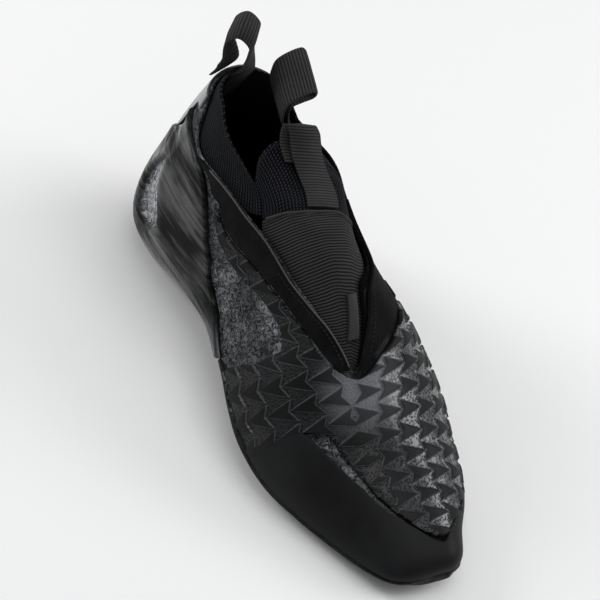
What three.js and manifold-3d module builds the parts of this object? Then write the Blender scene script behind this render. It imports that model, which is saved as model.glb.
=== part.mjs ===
// A right climbing shoe: a low slip-on with a moulded heel cup, a sole under arch and forefoot,
// a rubber toe and a thin layer of darts over the forefoot. Millimetres, +X to the toe, +Y to the
// big-toe side, +Z up, and the floor at z = 0.
import * as THREE from 'three';
import { mergeVertices } from 'three/addons/utils/BufferGeometryUtils.js';
import Module from 'manifold-3d';

// Sizes of the last
const shoeLength = 245;
const ballWidth = 94;
const heelHeight = 110;
const instepHeight = 82;

// Walls and layers
const upperWall = 1.6;
const layerGap = 0.3;
// rows by which the room round the upper starts before its edge
const roomStartsEarly = 0.02;
const knitThickness = 1.1;
const goreThickness = 1.1;
const bandThickness = 1.1;
const reliefThickness = 1.0;
const toeRubberThickness = 1.5;
const heelRubberThickness = 2.3;
const heelTabThickness = 0.9;
const soleThickness = 3.9;
const soleSideThickness = 2.7;
const soleEdgeThickness = 1.2;
const flatDepth = 1.0;
const insoleThickness = 1.4;
const insoleRoom = 0.7;
const tagThickness = 1.3;

// Webbing
const webbingThickness = 1.3;
const rearLoopRise = 22;
const rearLoopSpan = 13;
const rearLoopWidth = 13.5;
const rearLoopOuter = { angle: -72, rim: 0.3, foot: 0.85 };
const rearLoopInner = { angle: -84, rim: 0.5, foot: 1.7 };
const rearLoopAcross = [0.66, 0.62, 0];
const rearLoopTurn = [0.62, -0.6, -0.5];
const medialLoopReach = 13;
const medialLoopWidth = 22;
const medialLoopDepth = 4.5;
const medialLoopLift = 7;
const medialLoopSlack = 1.1;
const medialLoopRoom = 1.5;
const medialLoopAngle = 182;
const medialLoopRim = 0.35;
const medialLoopFoot = 1.5;
const medialLoopOut = [0, 1, 0.28];
const medialLoopUp = [0, -0.28, 1];
const medialLoopTurn = [0.93, -0.15, -0.3];
const tongueTabWidth = 14.5;
const tongueTabStandOff = 4.2;
const tongueTabTurn = [0.27, 0.96, -0.05];

// The origin: the middle of the flat spot under the heel, as shares of length and ball width
const heelRestX = 0.151 * shoeLength;
const heelRestY = 0.047 * ballWidth;

const underfoot = layerGap + soleThickness - flatDepth;
const toePole = 18;
const degree = Math.PI / 180;

// The last is a fan of sections: from the collar rim (row 0) down round the heel and forward to
// the toe (row 18). An angle goes round each section: 0 on the outer side, 90 on top or in front,
// 180 on the inner side and -90 at the back or underneath.
// x is a share of the shoe's length, back z of the heel's height and front z of the instep's
// height, both above the underfoot plane; the half widths and centre y are shares of ball width.
const lastColumns = [
  'backX', 'backZ', 'frontX', 'frontZ', 'outer', 'inner', 'centreY', 'split', 'lowPower', 'topPower',
];
const lastRows = [
  [0.130, 1.030, 0.285, 1.320, 0.265, 0.130, 0.000, 0.50, 2.0, 2.0],
  [0.105, 0.890, 0.318, 1.205, 0.265, 0.190, 0.000, 0.50, 2.0, 2.0],
  [0.075, 0.700, 0.363, 1.150, 0.268, 0.270, 0.005, 0.48, 2.0, 2.3],
  [0.052, 0.470, 0.414, 1.145, 0.285, 0.345, 0.010, 0.45, 2.1, 2.4],
  [0.045, 0.220, 0.462, 1.120, 0.312, 0.370, 0.010, 0.43, 2.4, 2.1],
  [0.072, 0.042, 0.503, 1.055, 0.325, 0.390, 0.015, 0.40, 2.7, 2.0],
  [0.147, 0.000, 0.539, 0.960, 0.328, 0.410, 0.030, 0.36, 2.8, 2.0],
  [0.241, 0.030, 0.577, 0.880, 0.330, 0.430, 0.045, 0.33, 2.5, 2.0],
  [0.346, 0.078, 0.617, 0.800, 0.362, 0.450, 0.055, 0.30, 2.3, 2.1],
  [0.452, 0.086, 0.657, 0.710, 0.424, 0.480, 0.058, 0.28, 2.8, 2.1],
  [0.550, 0.058, 0.700, 0.605, 0.466, 0.512, 0.050, 0.26, 3.3, 2.1],
  [0.638, 0.026, 0.747, 0.505, 0.470, 0.535, 0.035, 0.24, 3.3, 2.1],
  [0.722, 0.006, 0.794, 0.420, 0.436, 0.512, 0.022, 0.23, 3.2, 2.1],
  [0.803, 0.000, 0.846, 0.355, 0.378, 0.452, 0.034, 0.23, 3.0, 2.1],
  [0.872, 0.004, 0.898, 0.300, 0.332, 0.346, 0.058, 0.25, 2.8, 2.1],
  [0.930, 0.014, 0.941, 0.252, 0.306, 0.212, 0.090, 0.30, 2.5, 2.1],
  [0.980, 0.031, 0.984, 0.205, 0.262, 0.110, 0.116, 0.40, 2.2, 2.0],
  [0.998, 0.055, 0.999, 0.160, 0.172, 0.044, 0.122, 0.50, 2.0, 2.0],
  [1.000, 0.087, 1.000, 0.117, 0.000, 0.000, 0.116, 0.50, 2.0, 2.0],
];

// Edges of the pieces on the last. The columns of each are where it is read and what it gives.
// angle, row: the leather's top edge round the collar and throat
const leatherTop = [
  [-90, 0.75], [-45, 0.65], [-30, 0.95], [-14, 2.15], [-5, 2.45], [18, 3.05], [32, 3.65], [48, 4.9],
  [57, 6.7], [62, 7.5], [74, 8.95], [79, 9.45], [84, 8.9], [90, 8.0], [96, 6.95], [101, 6.4],
  [112, 6.15], [124, 5.8], [133, 5.15], [142, 4.45], [150, 3.95], [162, 3.3], [185, 2.45], [194, 2.15],
  [210, 0.95], [225, 0.65], [270, 0.75],
];
// angle, row: the knitted rim of the collar, lowest at the two notches beside the tongue
const collarRim = [
  [-220, 1.75], [-212, 1.3], [-198, 0.9], [-180, 0.4], [-160, 0.3], [-90, 0.55], [-40, 0.2],
  [-4, 0.25], [8, 0.75], [21, 1.35], [34, 1.85], [40, 2.35],
];
// angle, row: where the collar ends inside the leather
const collarEnd = [
  [-220, 4.8], [-200, 4.1], [-180, 3.4], [-160, 2.9], [-90, 2.4], [-20, 2.9], [0, 3.3], [20, 3.7], [40, 3.85],
];
const collarAngles = [42.2, -220];
// angle, row: the top of the knitted tongue
const tongueTop = [[42, 2.35], [57, 1.1], [78, 0.55], [100, 0.45], [124, 0.7], [138, 1.75]];
// angle, row: the seam between tongue and elastic
const goreSeam = [[42, 4.0], [65, 3.4], [80, 3.3], [100, 3.55], [115, 4.1], [138, 5.1]];
const tongueAngles = [43, 139.2];
// Width of the seam between tongue and elastic, as a share of a row
const seamShare = 0.05;
// row, angle: outer and inner edges of the elastic, tucked under the leather
const goreEnd = 9.5;
const goreOuter = [[3.3, 38], [4.9, 42], [6.7, 51], [7.5, 57], [8.9, 69], [9.6, 76]];
const goreInner = [[3.3, 145], [5.1, 142], [6.3, 125], [7.2, 114], [8.0, 106], [8.9, 93], [9.6, 83]];
// row, angle: front edge of the heel cup; share across, row: its top edge
const cupFront = [
  [1.7, -40], [1.95, -31], [2.3, -14], [2.5, -6], [2.95, 4], [3.45, 10], [3.95, 14], [4.65, 17],
  [5.4, 17], [6.45, 11], [7.9, 1], [8.9, -12],
];
const cupTop = [
  [0, 1.7], [0.05, 2.05], [0.18, 2.38], [0.28, 2.7], [0.5, 3.0], [0.72, 2.7], [0.82, 2.38], [0.95, 2.05], [1, 1.7],
];
const cupEnd = 8.9;
// angle, row: lower edge of the heel tab, along the cup's top edge
const tabAngles = [-28, -152];
const tabTop = 0.74;
const tabEnd = [
  [-152, 1.38], [-141, 1.42], [-136, 1.95], [-130, 2.6], [-90, 3.1], [-50, 2.6], [-44, 1.95], [-39, 1.42], [-28, 1.38],
];
// row, angle: lower and upper edges of the throat band and of the inner patch
const bandLow = [
  [2.6, -2], [3.0, 8], [3.45, 14], [3.7, 20], [4.55, 27], [5.85, 40.5], [7.35, 47.5], [8.6, 59],
  [9.2, 67], [9.6, 74],
];
const bandTop = [
  [2.6, 1.5], [3.0, 18], [3.6, 32], [4.85, 48], [6.7, 56.5], [7.25, 60], [8.0, 67], [8.95, 74], [9.6, 77.4],
];
const patchLow = [
  [2.6, 181], [3.0, 171.5], [3.45, 165], [3.7, 162], [4.55, 156], [5.85, 148], [6.8, 141], [7.7, 131],
  [8.2, 114], [9.0, 92.5], [9.6, 83],
];
const patchTop = [
  [2.6, 178.5], [3.0, 165], [3.6, 153.5], [4.4, 144.5], [5.2, 136], [5.85, 128.5], [6.2, 121],
  [6.5, 110], [7.0, 101], [8.0, 92.5], [9.0, 84.5], [9.6, 79.5],
];
const bandRows = [2.6, 9.4];
// angle, row: the relief layer's upper edge; row, angle: its lower edge, tucked to the toe rubber
const reliefStart = [
  [-12, 9.15], [24, 8.9], [40, 8.5], [50, 8.25], [60, 8.85], [68, 9.35], [77, 9.8], [86, 9.6], [93, 9.25],
  [104, 8.85], [115, 8.45], [126, 8.15], [134, 8.05], [150, 8.6], [192, 9.15],
];
const reliefAngles = [-12, 192];
const reliefLower = [
  [11.05, -12], [11.1, 16], [11.15, 41], [11.95, 50], [12.9, 56], [13.9, 60], [14.9, 70], [15.9, 91],
  [15.4, 124], [14.8, 143], [14.05, 159], [13.15, 174], [12.5, 184], [12.1, 192],
];
// row, angle: the relief's two wings, which run up beside the throat
const outerWingLow = [[3.9, 18.5], [4.5, 21], [6.1, 29], [6.95, 34], [8.2, 38], [9.0, 34]];
const outerWingTop = [[3.9, 20.5], [4.55, 25.5], [5.85, 39], [7.35, 46], [8.2, 54], [9.0, 60]];
const innerWingTop = [[4.5, 158.8], [4.9, 156.3], [5.85, 150.8], [6.8, 143.8], [7.7, 135], [8.2, 128], [9.0, 116]];
const innerWingLow = [[4.5, 160.5], [4.9, 160], [6.1, 156], [6.95, 150.5], [8.2, 144], [9.0, 146]];
const outerWingRows = [3.9, 9.0];
const innerWingRows = [4.5, 9.0];
// row, angle pairs of the toe rubber: its upper edge and its lower edge, from the outer side
// round the toe to the inner side
const toeUpper = [
  [10.92, 2], [10.9, 22], [10.87, 43], [11.75, 54], [12.7, 60], [13.7, 65], [14.7, 76], [15.55, 91],
  [15.1, 118], [14.55, 136], [13.8, 152], [12.9, 168], [12.2, 177], [11.5, 184],
];
const toeLower = [
  [10.95, -13], [11.7, -13], [12.6, -13], [13.6, -13], [14.6, -13], [15.6, -13], [16.4, -18], [17.2, -50],
  [17.3, -90], [17.2, -130], [16.4, -162], [15.0, -167], [13.4, -167], [11.7, -167],
];
// The sole's reach: rows from arch to toe, and the angle of its upper edge on either side
const soleRows = [8.94, 17.5];
const soleAngles = [-9, -171];
// row, share of full thickness: the sole is skived thin at the arch and eased at the toe
const soleProfile = [[9.05, 0.28], [9.8, 0.6], [10.8, 1], [14.6, 1], [16.2, 0.85], [17.55, 0.6]];
// row, share: the heel rubber's extra thickness under the heel seat
const seatProfile = [[3.2, 0], [5.0, 1], [7.0, 1], [8.2, 0.35], [8.9, -0.25]];
// Underside hole in the upper, which the sole closes, and the board over it
const openingRows = [6.6, 16.0];
const openingAngles = [-58, -122];
const insoleRows = [5.7, 16.4];
const insoleAngles = [-50, -130];
// row, angle corners of the lens-shaped slot in the heel cup: rear edge and front edge
const slotRows = [3.45, 4.95];
const slotRear = [[3.45, -30], [3.9, -35], [4.3, -35], [4.7, -27], [4.95, -15]];
const slotFront = [[3.45, -28], [3.9, -23], [4.3, -17], [4.7, -13.5], [4.95, -13]];
// The bare tag bar on the elastic
const tagRows = [6.75, 8.45];
const tagAngles = [[6.75, 90], [8.45, 81.5]];
const tagSpread = 4.2;

// share across, thickness: thin at the sole's upper edges, full underneath, with a step between
const underSole = [[0, soleSideThickness], [0.16, soleSideThickness], [0.34, soleThickness], [0.5, soleThickness]];

// Facets: degrees round the wall, closer over the throat, and steps along it
const coarseAngle = 11;
const fineAngle = 7.5;
const wallSteps = 20;
const tongueFacets = 10;
// share of the steps, share of the way to the toe: closer together round the heel
const wallSpacing = [[0, 0], [0.12, 0.135], [0.45, 0.4], [0.9, 0.9], [1, 1]];

const colours = {
  leather: [0x2b2c2e, 0.42],
  suede: [0x1d1e20, 0.9],
  rubber: [0x3a3b3d, 0.5],
  sole: [0x343536, 0.6],
  knit: [0x23262c, 0.95],
  elastic: [0x35373a, 0.9],
  webbing: [0x4a4b4d, 0.85],
  board: [0x3b3a38, 0.95],
};

const wasm = await Module();
wasm.setup();

function clamp(value, low, high) {
  return Math.min(Math.max(value, low), high);
}

function mix(a, b, share) {
  return a + (b - a) * share;
}

// Smooth value of a two-column table: no overshoot between its rows
function follow(table, at) {
  const last = table.length - 1;
  const t = clamp(at, table[0][0], table[last][0]);
  let i = 0;
  while (i < last - 1 && t > table[i + 1][0]) i += 1;
  const slope = (k) => (table[k + 1][1] - table[k][1]) / (table[k + 1][0] - table[k][0]);
  const tangent = (k) => {
    if (k === 0 || k === last) return slope(Math.min(k, last - 1));
    const before = slope(k - 1);
    const after = slope(k);
    return before * after <= 0 ? 0 : 2 * before * after / (before + after);
  };
  const span = table[i + 1][0] - table[i][0];
  const f = (t - table[i][0]) / span;
  const rise = table[i + 1][1] - table[i][1];
  const a = tangent(i) * span;
  const b = tangent(i + 1) * span;
  return table[i][1] + f * (a + f * (3 * rise - 2 * a - b + f * (a + b - 2 * rise)));
}

// Sizes of one section of the last, in millimetres
function sectionRow(index) {
  const row = Object.fromEntries(lastColumns.map((name, k) => [name, lastRows[index][k]]));
  row.backX *= shoeLength;
  row.frontX *= shoeLength;
  row.backZ = underfoot + row.backZ * heelHeight;
  row.frontZ = index === toePole ? row.backZ : underfoot + row.frontZ * instepHeight;
  row.outer *= ballWidth;
  row.inner *= ballWidth;
  row.centreY *= ballWidth;
  return lastColumns.map((name) => row[name]);
}

const sections = lastRows.map((_, index) => sectionRow(index));
const beforeRim = sections[0].map((value, k) => 2 * value - sections[1][k]);
// Past the toe the sections turn back, so that the toe closes round
const pastToe = sections[toePole - 1].map((value, k) => (k === 4 || k === 5 ? -value : value));
[pastToe[1], pastToe[3]] = [pastToe[3], pastToe[1]];
const fan = [beforeRim, ...sections, pastToe];

function sectionAt(row) {
  const at = clamp(row, 0, toePole);
  const i = Math.min(Math.floor(at), toePole - 1);
  const f = at - i;
  const [p0, p1, p2, p3] = fan.slice(i, i + 4);
  const blend = (a, b, c, d) => b + 0.5 * f * (c - a + f * (2 * a - 5 * b + 4 * c - d + f * (3 * (b - c) + d - a)));
  return p1.map((value, k) => blend(p0[k], value, p2[k], p3[k]));
}

// A point on the last itself
function lastPoint(row, angle) {
  const [backX, backZ, frontX, frontZ, outer, inner, centreY, split, lowPower, topPower] = sectionAt(row);
  const c = Math.cos(angle * degree);
  const s = Math.sin(angle * degree);
  const power = 2 / (s < 0 ? lowPower : topPower);
  const across = Math.sign(c) * Math.abs(c) ** power;
  const along = Math.sign(s) * Math.abs(s) ** power;
  const t = split + (s < 0 ? split : 1 - split) * along;
  const y = centreY - (c > 0 ? outer : inner) * across;
  return new THREE.Vector3(mix(backX, frontX, t), y, mix(backZ, frontZ, t));
}

const rowStep = 0.04;
const angleStep = 1.5;

// A point off the last along its outward normal
function skin(row, angle, offset) {
  const at = Math.min(row, toePole - 0.001);
  const along = lastPoint(Math.min(at + rowStep, toePole), angle).sub(lastPoint(Math.max(at - rowStep, 0), angle));
  const round = lastPoint(at, angle + angleStep).sub(lastPoint(at, angle - angleStep));
  const normal = at > toePole - 0.06 ? new THREE.Vector3(1, 0, 0) : along.cross(round).normalize();
  return lastPoint(row, angle).addScaledVector(normal, offset);
}

// Chart places as points of a plane centred on the toe, where a straight line may pass the toe
function toPlane([row, angle]) {
  const reach = toePole - row;
  return [reach * Math.cos(angle * degree), reach * Math.sin(angle * degree)];
}

function fromPlane([x, y]) {
  return [toePole - Math.hypot(x, y), Math.atan2(y, x) / degree];
}

function shares(count) {
  return Array.from({ length: count + 1 }, (_, i) => i / count);
}

function geometryOf(points, faces) {
  const geometry = new THREE.BufferGeometry();
  const flat = points.flatMap((p) => [p.x, p.y, p.z]);
  geometry.setAttribute('position', new THREE.Float32BufferAttribute(flat, 3));
  geometry.setIndex(faces.flat());
  return geometry;
}

// A closed slab between two sheets of points, each sheet[i][j]
function slab(low, high) {
  const m = low.length;
  const n = low[0].length;
  const points = [...low.flat(), ...high.flat()];
  const lowAt = (i, j) => i * n + j;
  const highAt = (i, j) => m * n + i * n + j;
  const faces = [];
  const quad = (a, b, c, d) => faces.push([a, b, c], [a, c, d]);
  for (let i = 0; i < m - 1; i += 1) {
    for (let j = 0; j < n - 1; j += 1) {
      quad(highAt(i, j), highAt(i + 1, j), highAt(i + 1, j + 1), highAt(i, j + 1));
      quad(lowAt(i, j), lowAt(i, j + 1), lowAt(i + 1, j + 1), lowAt(i + 1, j));
    }
    quad(lowAt(i, 0), lowAt(i + 1, 0), highAt(i + 1, 0), highAt(i, 0));
    quad(lowAt(i, n - 1), highAt(i, n - 1), highAt(i + 1, n - 1), lowAt(i + 1, n - 1));
  }
  for (let j = 0; j < n - 1; j += 1) {
    quad(lowAt(0, j), highAt(0, j), highAt(0, j + 1), lowAt(0, j + 1));
    quad(lowAt(m - 1, j), lowAt(m - 1, j + 1), highAt(m - 1, j + 1), highAt(m - 1, j));
  }
  return geometryOf(points, faces);
}

// Turns a closed mesh inside out when its volume comes out negative
function facingOut(geometry) {
  const p = geometry.getAttribute('position');
  const index = geometry.getIndex().array;
  const at = (k) => new THREE.Vector3().fromBufferAttribute(p, index[k]);
  let volume = 0;
  for (let k = 0; k < index.length; k += 3) volume += at(k).dot(at(k + 1).cross(at(k + 2)));
  if (volume < 0) {
    const turned = Array.from(index);
    for (let k = 0; k < turned.length; k += 3) [turned[k], turned[k + 1]] = [turned[k + 1], turned[k]];
    geometry.setIndex(turned);
  }
  return geometry;
}

// Places of a panel whose ends are rows and whose sides are angles
function panel(start, end, left, right) {
  return (u, v) => {
    const row = mix(start(u), end(u), v);
    return [row, mix(left(row), right(row), u)];
  };
}

function solid(geometry) {
  const bare = geometry.clone();
  bare.deleteAttribute('normal');
  bare.deleteAttribute('uv');
  const merged = mergeVertices(bare, 1e-5);
  const mesh = new wasm.Mesh({
    numProp: 3,
    vertProperties: new Float32Array(merged.getAttribute('position').array),
    triVerts: new Uint32Array(merged.getIndex().array),
  });
  return new wasm.Manifold(mesh);
}

function toGeometry(body) {
  const mesh = body.getMesh();
  const geometry = new THREE.BufferGeometry();
  geometry.setAttribute('position', new THREE.BufferAttribute(new Float32Array(mesh.vertProperties), 3));
  geometry.setIndex(new THREE.BufferAttribute(new Uint32Array(mesh.triVerts), 1));
  return geometry;
}

// A layer laid on the last: place(u, v) gives row and angle, inner and outer its two offsets
function layer({ place, across, along, inner, outer, reach = [0, 0] }) {
  const us = shares(across).map((t) => mix(-reach[0], 1 + reach[0], t));
  const vs = shares(along).map((t) => mix(-reach[1], 1 + reach[1], t));
  const sheet = (depth) => us.map((u) => vs.map((v) => skin(...place(u, v), depth(u, v))));
  return solid(facingOut(slab(sheet(inner), sheet(outer))));
}

function lineLength(points) {
  return points.slice(1).reduce((sum, p, i) => sum + p.distanceTo(points[i]), 0);
}

// The same layer grown by a gap all round, to cut room for it in a neighbour
function grown(spec, gap = layerGap) {
  const width = lineLength(shares(8).map((t) => skin(...spec.place(t, 0.5), 0)));
  const length = lineLength(shares(8).map((t) => skin(...spec.place(0.5, t), 0)));
  return layer({
    ...spec,
    inner: (u, v) => spec.inner(u, v) - gap,
    outer: (u, v) => spec.outer(u, v) + gap,
    reach: [gap / width, gap / length],
  });
}

// Everything under the floor plane, to trim the flat spots
function belowFloor() {
  const depth = 40;
  const box = new THREE.BoxGeometry(2 * shoeLength, 3 * ballWidth, depth);
  box.translate(shoeLength / 2, 0, -depth / 2);
  return solid(box);
}

const constant = (value) => () => value;

// A closed wall round the whole last, from the leather's top edge to the toe
function wallRound(outerOffset, innerOffset, early) {
  const angles = [];
  for (let a = -90; a < 269; a += a >= 40 && a < 115 ? fineAngle : coarseAngle) angles.push(a);
  const steps = shares(wallSteps).slice(0, -1);
  const rowOf = (angle, v) => mix(follow(leatherTop, angle) - early, toePole, follow(wallSpacing, v));
  const sheet = (offset) => angles.map((a) => steps.map((v) => skin(rowOf(a, v), a, offset)));
  const n = steps.length;
  const m = angles.length;
  const poles = [skin(toePole, 0, outerOffset), skin(toePole, 0, innerOffset)];
  const points = [...sheet(outerOffset).flat(), ...sheet(innerOffset).flat(), ...poles];
  const out = (i, j) => (i % m) * n + j;
  const within = (i, j) => m * n + (i % m) * n + j;
  const pole = 2 * m * n;
  const faces = [];
  for (let i = 0; i < m; i += 1) {
    for (let j = 0; j < n - 1; j += 1) {
      faces.push([out(i, j), out(i + 1, j), out(i + 1, j + 1)], [out(i, j), out(i + 1, j + 1), out(i, j + 1)]);
      faces.push([within(i, j), within(i + 1, j + 1), within(i + 1, j)]);
      faces.push([within(i, j), within(i, j + 1), within(i + 1, j + 1)]);
    }
    faces.push([out(i, n - 1), out(i + 1, n - 1), pole], [within(i, n - 1), pole + 1, within(i + 1, n - 1)]);
    faces.push([out(i, 0), within(i, 0), within(i + 1, 0)], [out(i, 0), within(i + 1, 0), out(i + 1, 0)]);
  }
  return solid(facingOut(geometryOf(points, faces)));
}

// Room round the upper's wall, cut from every layer that lies on or in it
const upperRoom = wallRound(layerGap, -upperWall - layerGap, roomStartsEarly);
const floorCut = belowFloor();

// The hollow leather shell: one wall, open above and underneath
function upperShell() {
  const opening = layer({
    place: (u, v) => [mix(...openingRows, v), mix(...openingAngles, u)],
    across: 4,
    along: 8,
    inner: constant(-upperWall - 1),
    outer: constant(1),
  });
  return wallRound(0, -upperWall, 0).subtract(opening);
}

// Outer layers start inside the room round the wall, so that the cut shapes their inner face
const onWall = constant(-layerGap);
const overWall = (thickness) => constant(layerGap + thickness);

function insole() {
  return layer({
    place: (u, v) => [mix(...insoleRows, v), mix(...insoleAngles, u)],
    across: 5,
    along: 12,
    inner: constant(-upperWall - insoleRoom - insoleThickness),
    outer: constant(-upperWall - insoleRoom),
  });
}

function outsolePlace(u, v) {
  return [mix(...soleRows, v), mix(...soleAngles, u)];
}

const outsoleSpec = {
  place: outsolePlace,
  across: 12,
  along: 14,
  inner: onWall,
  outer: (u, v) => {
    const full = follow(soleProfile, outsolePlace(u, v)[0]);
    const thick = follow(underSole, Math.min(u, 1 - u)) * full;
    return layerGap + Math.max(thick, soleEdgeThickness);
  },
};

function outsole() {
  return layer(outsoleSpec).subtract(upperRoom).subtract(floorCut);
}

const cupPlace = panel(
  (u) => follow(cupTop, u),
  constant(cupEnd),
  (row) => follow(cupFront, row),
  (row) => -180 - follow(cupFront, row),
);

const heelCupSpec = {
  place: cupPlace,
  across: 14,
  along: 11,
  inner: onWall,
  outer: (u, v) => {
    const [row, angle] = cupPlace(u, v);
    const under = clamp((-Math.sin(angle * degree) - 0.5) / 0.35, 0, 1);
    const extra = (soleThickness - heelRubberThickness) * under * follow(seatProfile, row);
    return layerGap + heelRubberThickness + extra;
  },
};

function heelCup() {
  const slot = layer({
    place: panel(constant(slotRows[0]), constant(slotRows[1]), (r) => follow(slotFront, r), (r) => follow(slotRear, r)),
    across: 2,
    along: 6,
    inner: constant(-upperWall),
    outer: constant(2 * heelRubberThickness),
  });
  return layer(heelCupSpec).subtract(slot).subtract(upperRoom).subtract(floorCut);
}

function heelTab() {
  const tab = layer({
    place: (u, v) => {
      const angle = mix(...tabAngles, u);
      return [mix(tabTop, follow(tabEnd, angle), v), angle];
    },
    across: 10,
    along: 3,
    inner: onWall,
    outer: overWall(heelTabThickness),
  });
  return tab.subtract(grown(heelCupSpec, 3 * layerGap)).subtract(upperRoom);
}

// The elastic and knitted pieces lie inside the leather
const softOuter = -upperWall - 2 * layerGap;

const goreSpec = {
  place: (u, v) => {
    const seamAngle = mix(...tongueAngles, u);
    const row = mix(follow(goreSeam, seamAngle) + seamShare / 2, goreEnd, v);
    const angle = mix(follow(goreOuter, row), follow(goreInner, row), u);
    return [row, mix(seamAngle, angle, Math.min(4 * v, 1))];
  },
  across: tongueFacets,
  along: 8,
  inner: constant(softOuter - goreThickness),
  outer: constant(softOuter),
};

function elasticGore() {
  return layer(goreSpec).subtract(upperRoom);
}

const tongueSpec = {
  place: (u, v) => {
    const angle = mix(...tongueAngles, u);
    return [mix(follow(tongueTop, angle), follow(goreSeam, angle) - seamShare / 2, v), angle];
  },
  across: tongueFacets,
  along: 4,
  inner: constant(softOuter - knitThickness),
  outer: constant(softOuter),
};

function knitTongue() {
  return layer(tongueSpec).subtract(upperRoom);
}

const collarSpec = {
  place: (u, v) => {
    const angle = mix(...collarAngles, u);
    return [mix(follow(collarRim, angle), follow(collarEnd, angle), v), angle];
  },
  across: 24,
  along: 3,
  inner: constant(softOuter - knitThickness),
  outer: constant(softOuter),
};

function knitCollar() {
  return layer(collarSpec).subtract(upperRoom);
}

function band(low, top) {
  const strip = layer({
    place: panel(constant(bandRows[0]), constant(bandRows[1]), (row) => follow(low, row), (row) => follow(top, row)),
    across: 3,
    along: 16,
    inner: onWall,
    outer: overWall(bandThickness),
  });
  return strip.subtract(upperRoom);
}

// Places between two edges given as lists of chart places, straight in the plane round the toe
function between(upperEdge, lowerEdge) {
  const last = upperEdge.length - 1;
  return (u, v) => {
    const i = clamp(Math.floor(u * last), 0, last - 1);
    const at = (edge) => {
      const [a, b] = [toPlane(edge[i]), toPlane(edge[i + 1])];
      return [mix(a[0], b[0], u * last - i), mix(a[1], b[1], u * last - i)];
    };
    const [above, below] = [at(upperEdge), at(lowerEdge)];
    return fromPlane([mix(above[0], below[0], v), mix(above[1], below[1], v)]);
  };
}

const toeRubberSpec = {
  place: between(toeUpper, toeLower),
  across: 19,
  along: 4,
  inner: onWall,
  outer: overWall(toeRubberThickness),
};

function toeRubber() {
  return layer(toeRubberSpec).subtract(grown(outsoleSpec)).subtract(upperRoom);
}

function reliefLayer() {
  const outer = overWall(reliefThickness);
  const side = (table) => (row) => follow(table, row);
  const angles = shares(reliefLower.length - 1).map((t) => mix(...reliefAngles, t));
  const reliefUpper = angles.map((angle) => [follow(reliefStart, angle), angle]);
  const main = layer({
    place: between(reliefUpper, reliefLower),
    across: 15,
    along: 7,
    inner: onWall,
    outer,
  });
  const wing = (rows, low, top) => layer({
    place: panel(constant(rows[0]), constant(rows[1]), side(low), side(top)),
    across: 2,
    along: 8,
    inner: onWall,
    outer,
  });
  const outerWing = wing(outerWingRows, outerWingLow, outerWingTop);
  const innerWing = wing(innerWingRows, innerWingLow, innerWingTop);
  const whole = main.add(outerWing).add(innerWing);
  return whole.subtract(grown(toeRubberSpec)).subtract(grown(outsoleSpec)).subtract(upperRoom);
}

function tagBar() {
  const seat = softOuter + layerGap;
  return layer({
    place: (u, v) => {
      const row = mix(...tagRows, v);
      return [row, follow(tagAngles, row) + mix(-tagSpread, tagSpread, u)];
    },
    across: 2,
    along: 4,
    inner: constant(seat),
    outer: constant(seat + tagThickness),
  });
}

// A webbing strip through stations of a centre and a vector across it
function webbing(stations) {
  const count = stations.length;
  const tangents = stations.map((_, i) => {
    const next = stations[Math.min(i + 1, count - 1)].centre;
    return next.clone().sub(stations[Math.max(i - 1, 0)].centre).normalize();
  });
  const sheet = (side) => stations.map(({ centre, across }, i) => {
    const normal = tangents[i].clone().cross(across).normalize().multiplyScalar(side * webbingThickness / 2);
    return [-0.5, 0.5].map((w) => centre.clone().addScaledVector(across, w).add(normal));
  });
  return solid(facingOut(slab(sheet(-1), sheet(1))));
}

function smoothStations(rows, steps) {
  const centres = new THREE.CatmullRomCurve3(rows.map((r) => r.centre), false, 'centripetal');
  const widths = new THREE.CatmullRomCurve3(rows.map((r) => r.across), false, 'catmullrom');
  return shares(steps).map((t) => ({ centre: centres.getPoint(t), across: widths.getPoint(t) }));
}

// share of the span, share of the rise: the rear loop's arch
const rearLoopArch = [[-0.2, 0.4], [-0.27, 0.76], [0.07, 1], [0.54, 0.86], [0.6, 0.62], [0.61, 0.34]];
// share of the reach, share of the lift, share of the depth: the medial loop's path
const medialLoopPath = [
  [0.12, 1, 0], [0.55, 1.09, 0], [0.95, 1.09, 0], [1.06, 1, 0.5], [0.95, 1, 1], [0.5, 1.09, 1],
  [0, 1, 0.7], [-0.16, 0.71, 0],
];
// row, angle, share of the stand-off, height above the skin: the tongue tab's path
const tongueTabPath = [
  [3.3, 92, 0, 0], [2.7, 96, 0.1, 0], [2, 101, 0.45, 0], [1.3, 105, 0.95, 0], [0.7, 107, 1.3, 0],
  [0.3, 106, 1.4, 0], [0.1, 103, 1, 1.2], [0.3, 102, 0.5, 0.4], [0.8, 101, 0.2, 0], [1.4, 99, 0.1, 0],
];
const widthSampleAngle = 6;

function direction(parts) {
  return new THREE.Vector3(...parts).normalize();
}

// Vector across a strip that lies round the last at a place
function acrossAt(row, angle, width) {
  const ahead = skin(row, angle + widthSampleAngle, 0);
  return ahead.sub(skin(row, angle - widthSampleAngle, 0)).normalize().multiplyScalar(width);
}

// Both ends of a leg that lies on the collar, from its foot to its rim
function legStations({ angle, rim, foot }, offset, width) {
  return [foot, rim].map((row) => ({ centre: skin(row, angle, offset), across: acrossAt(row, angle, width) }));
}

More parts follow.
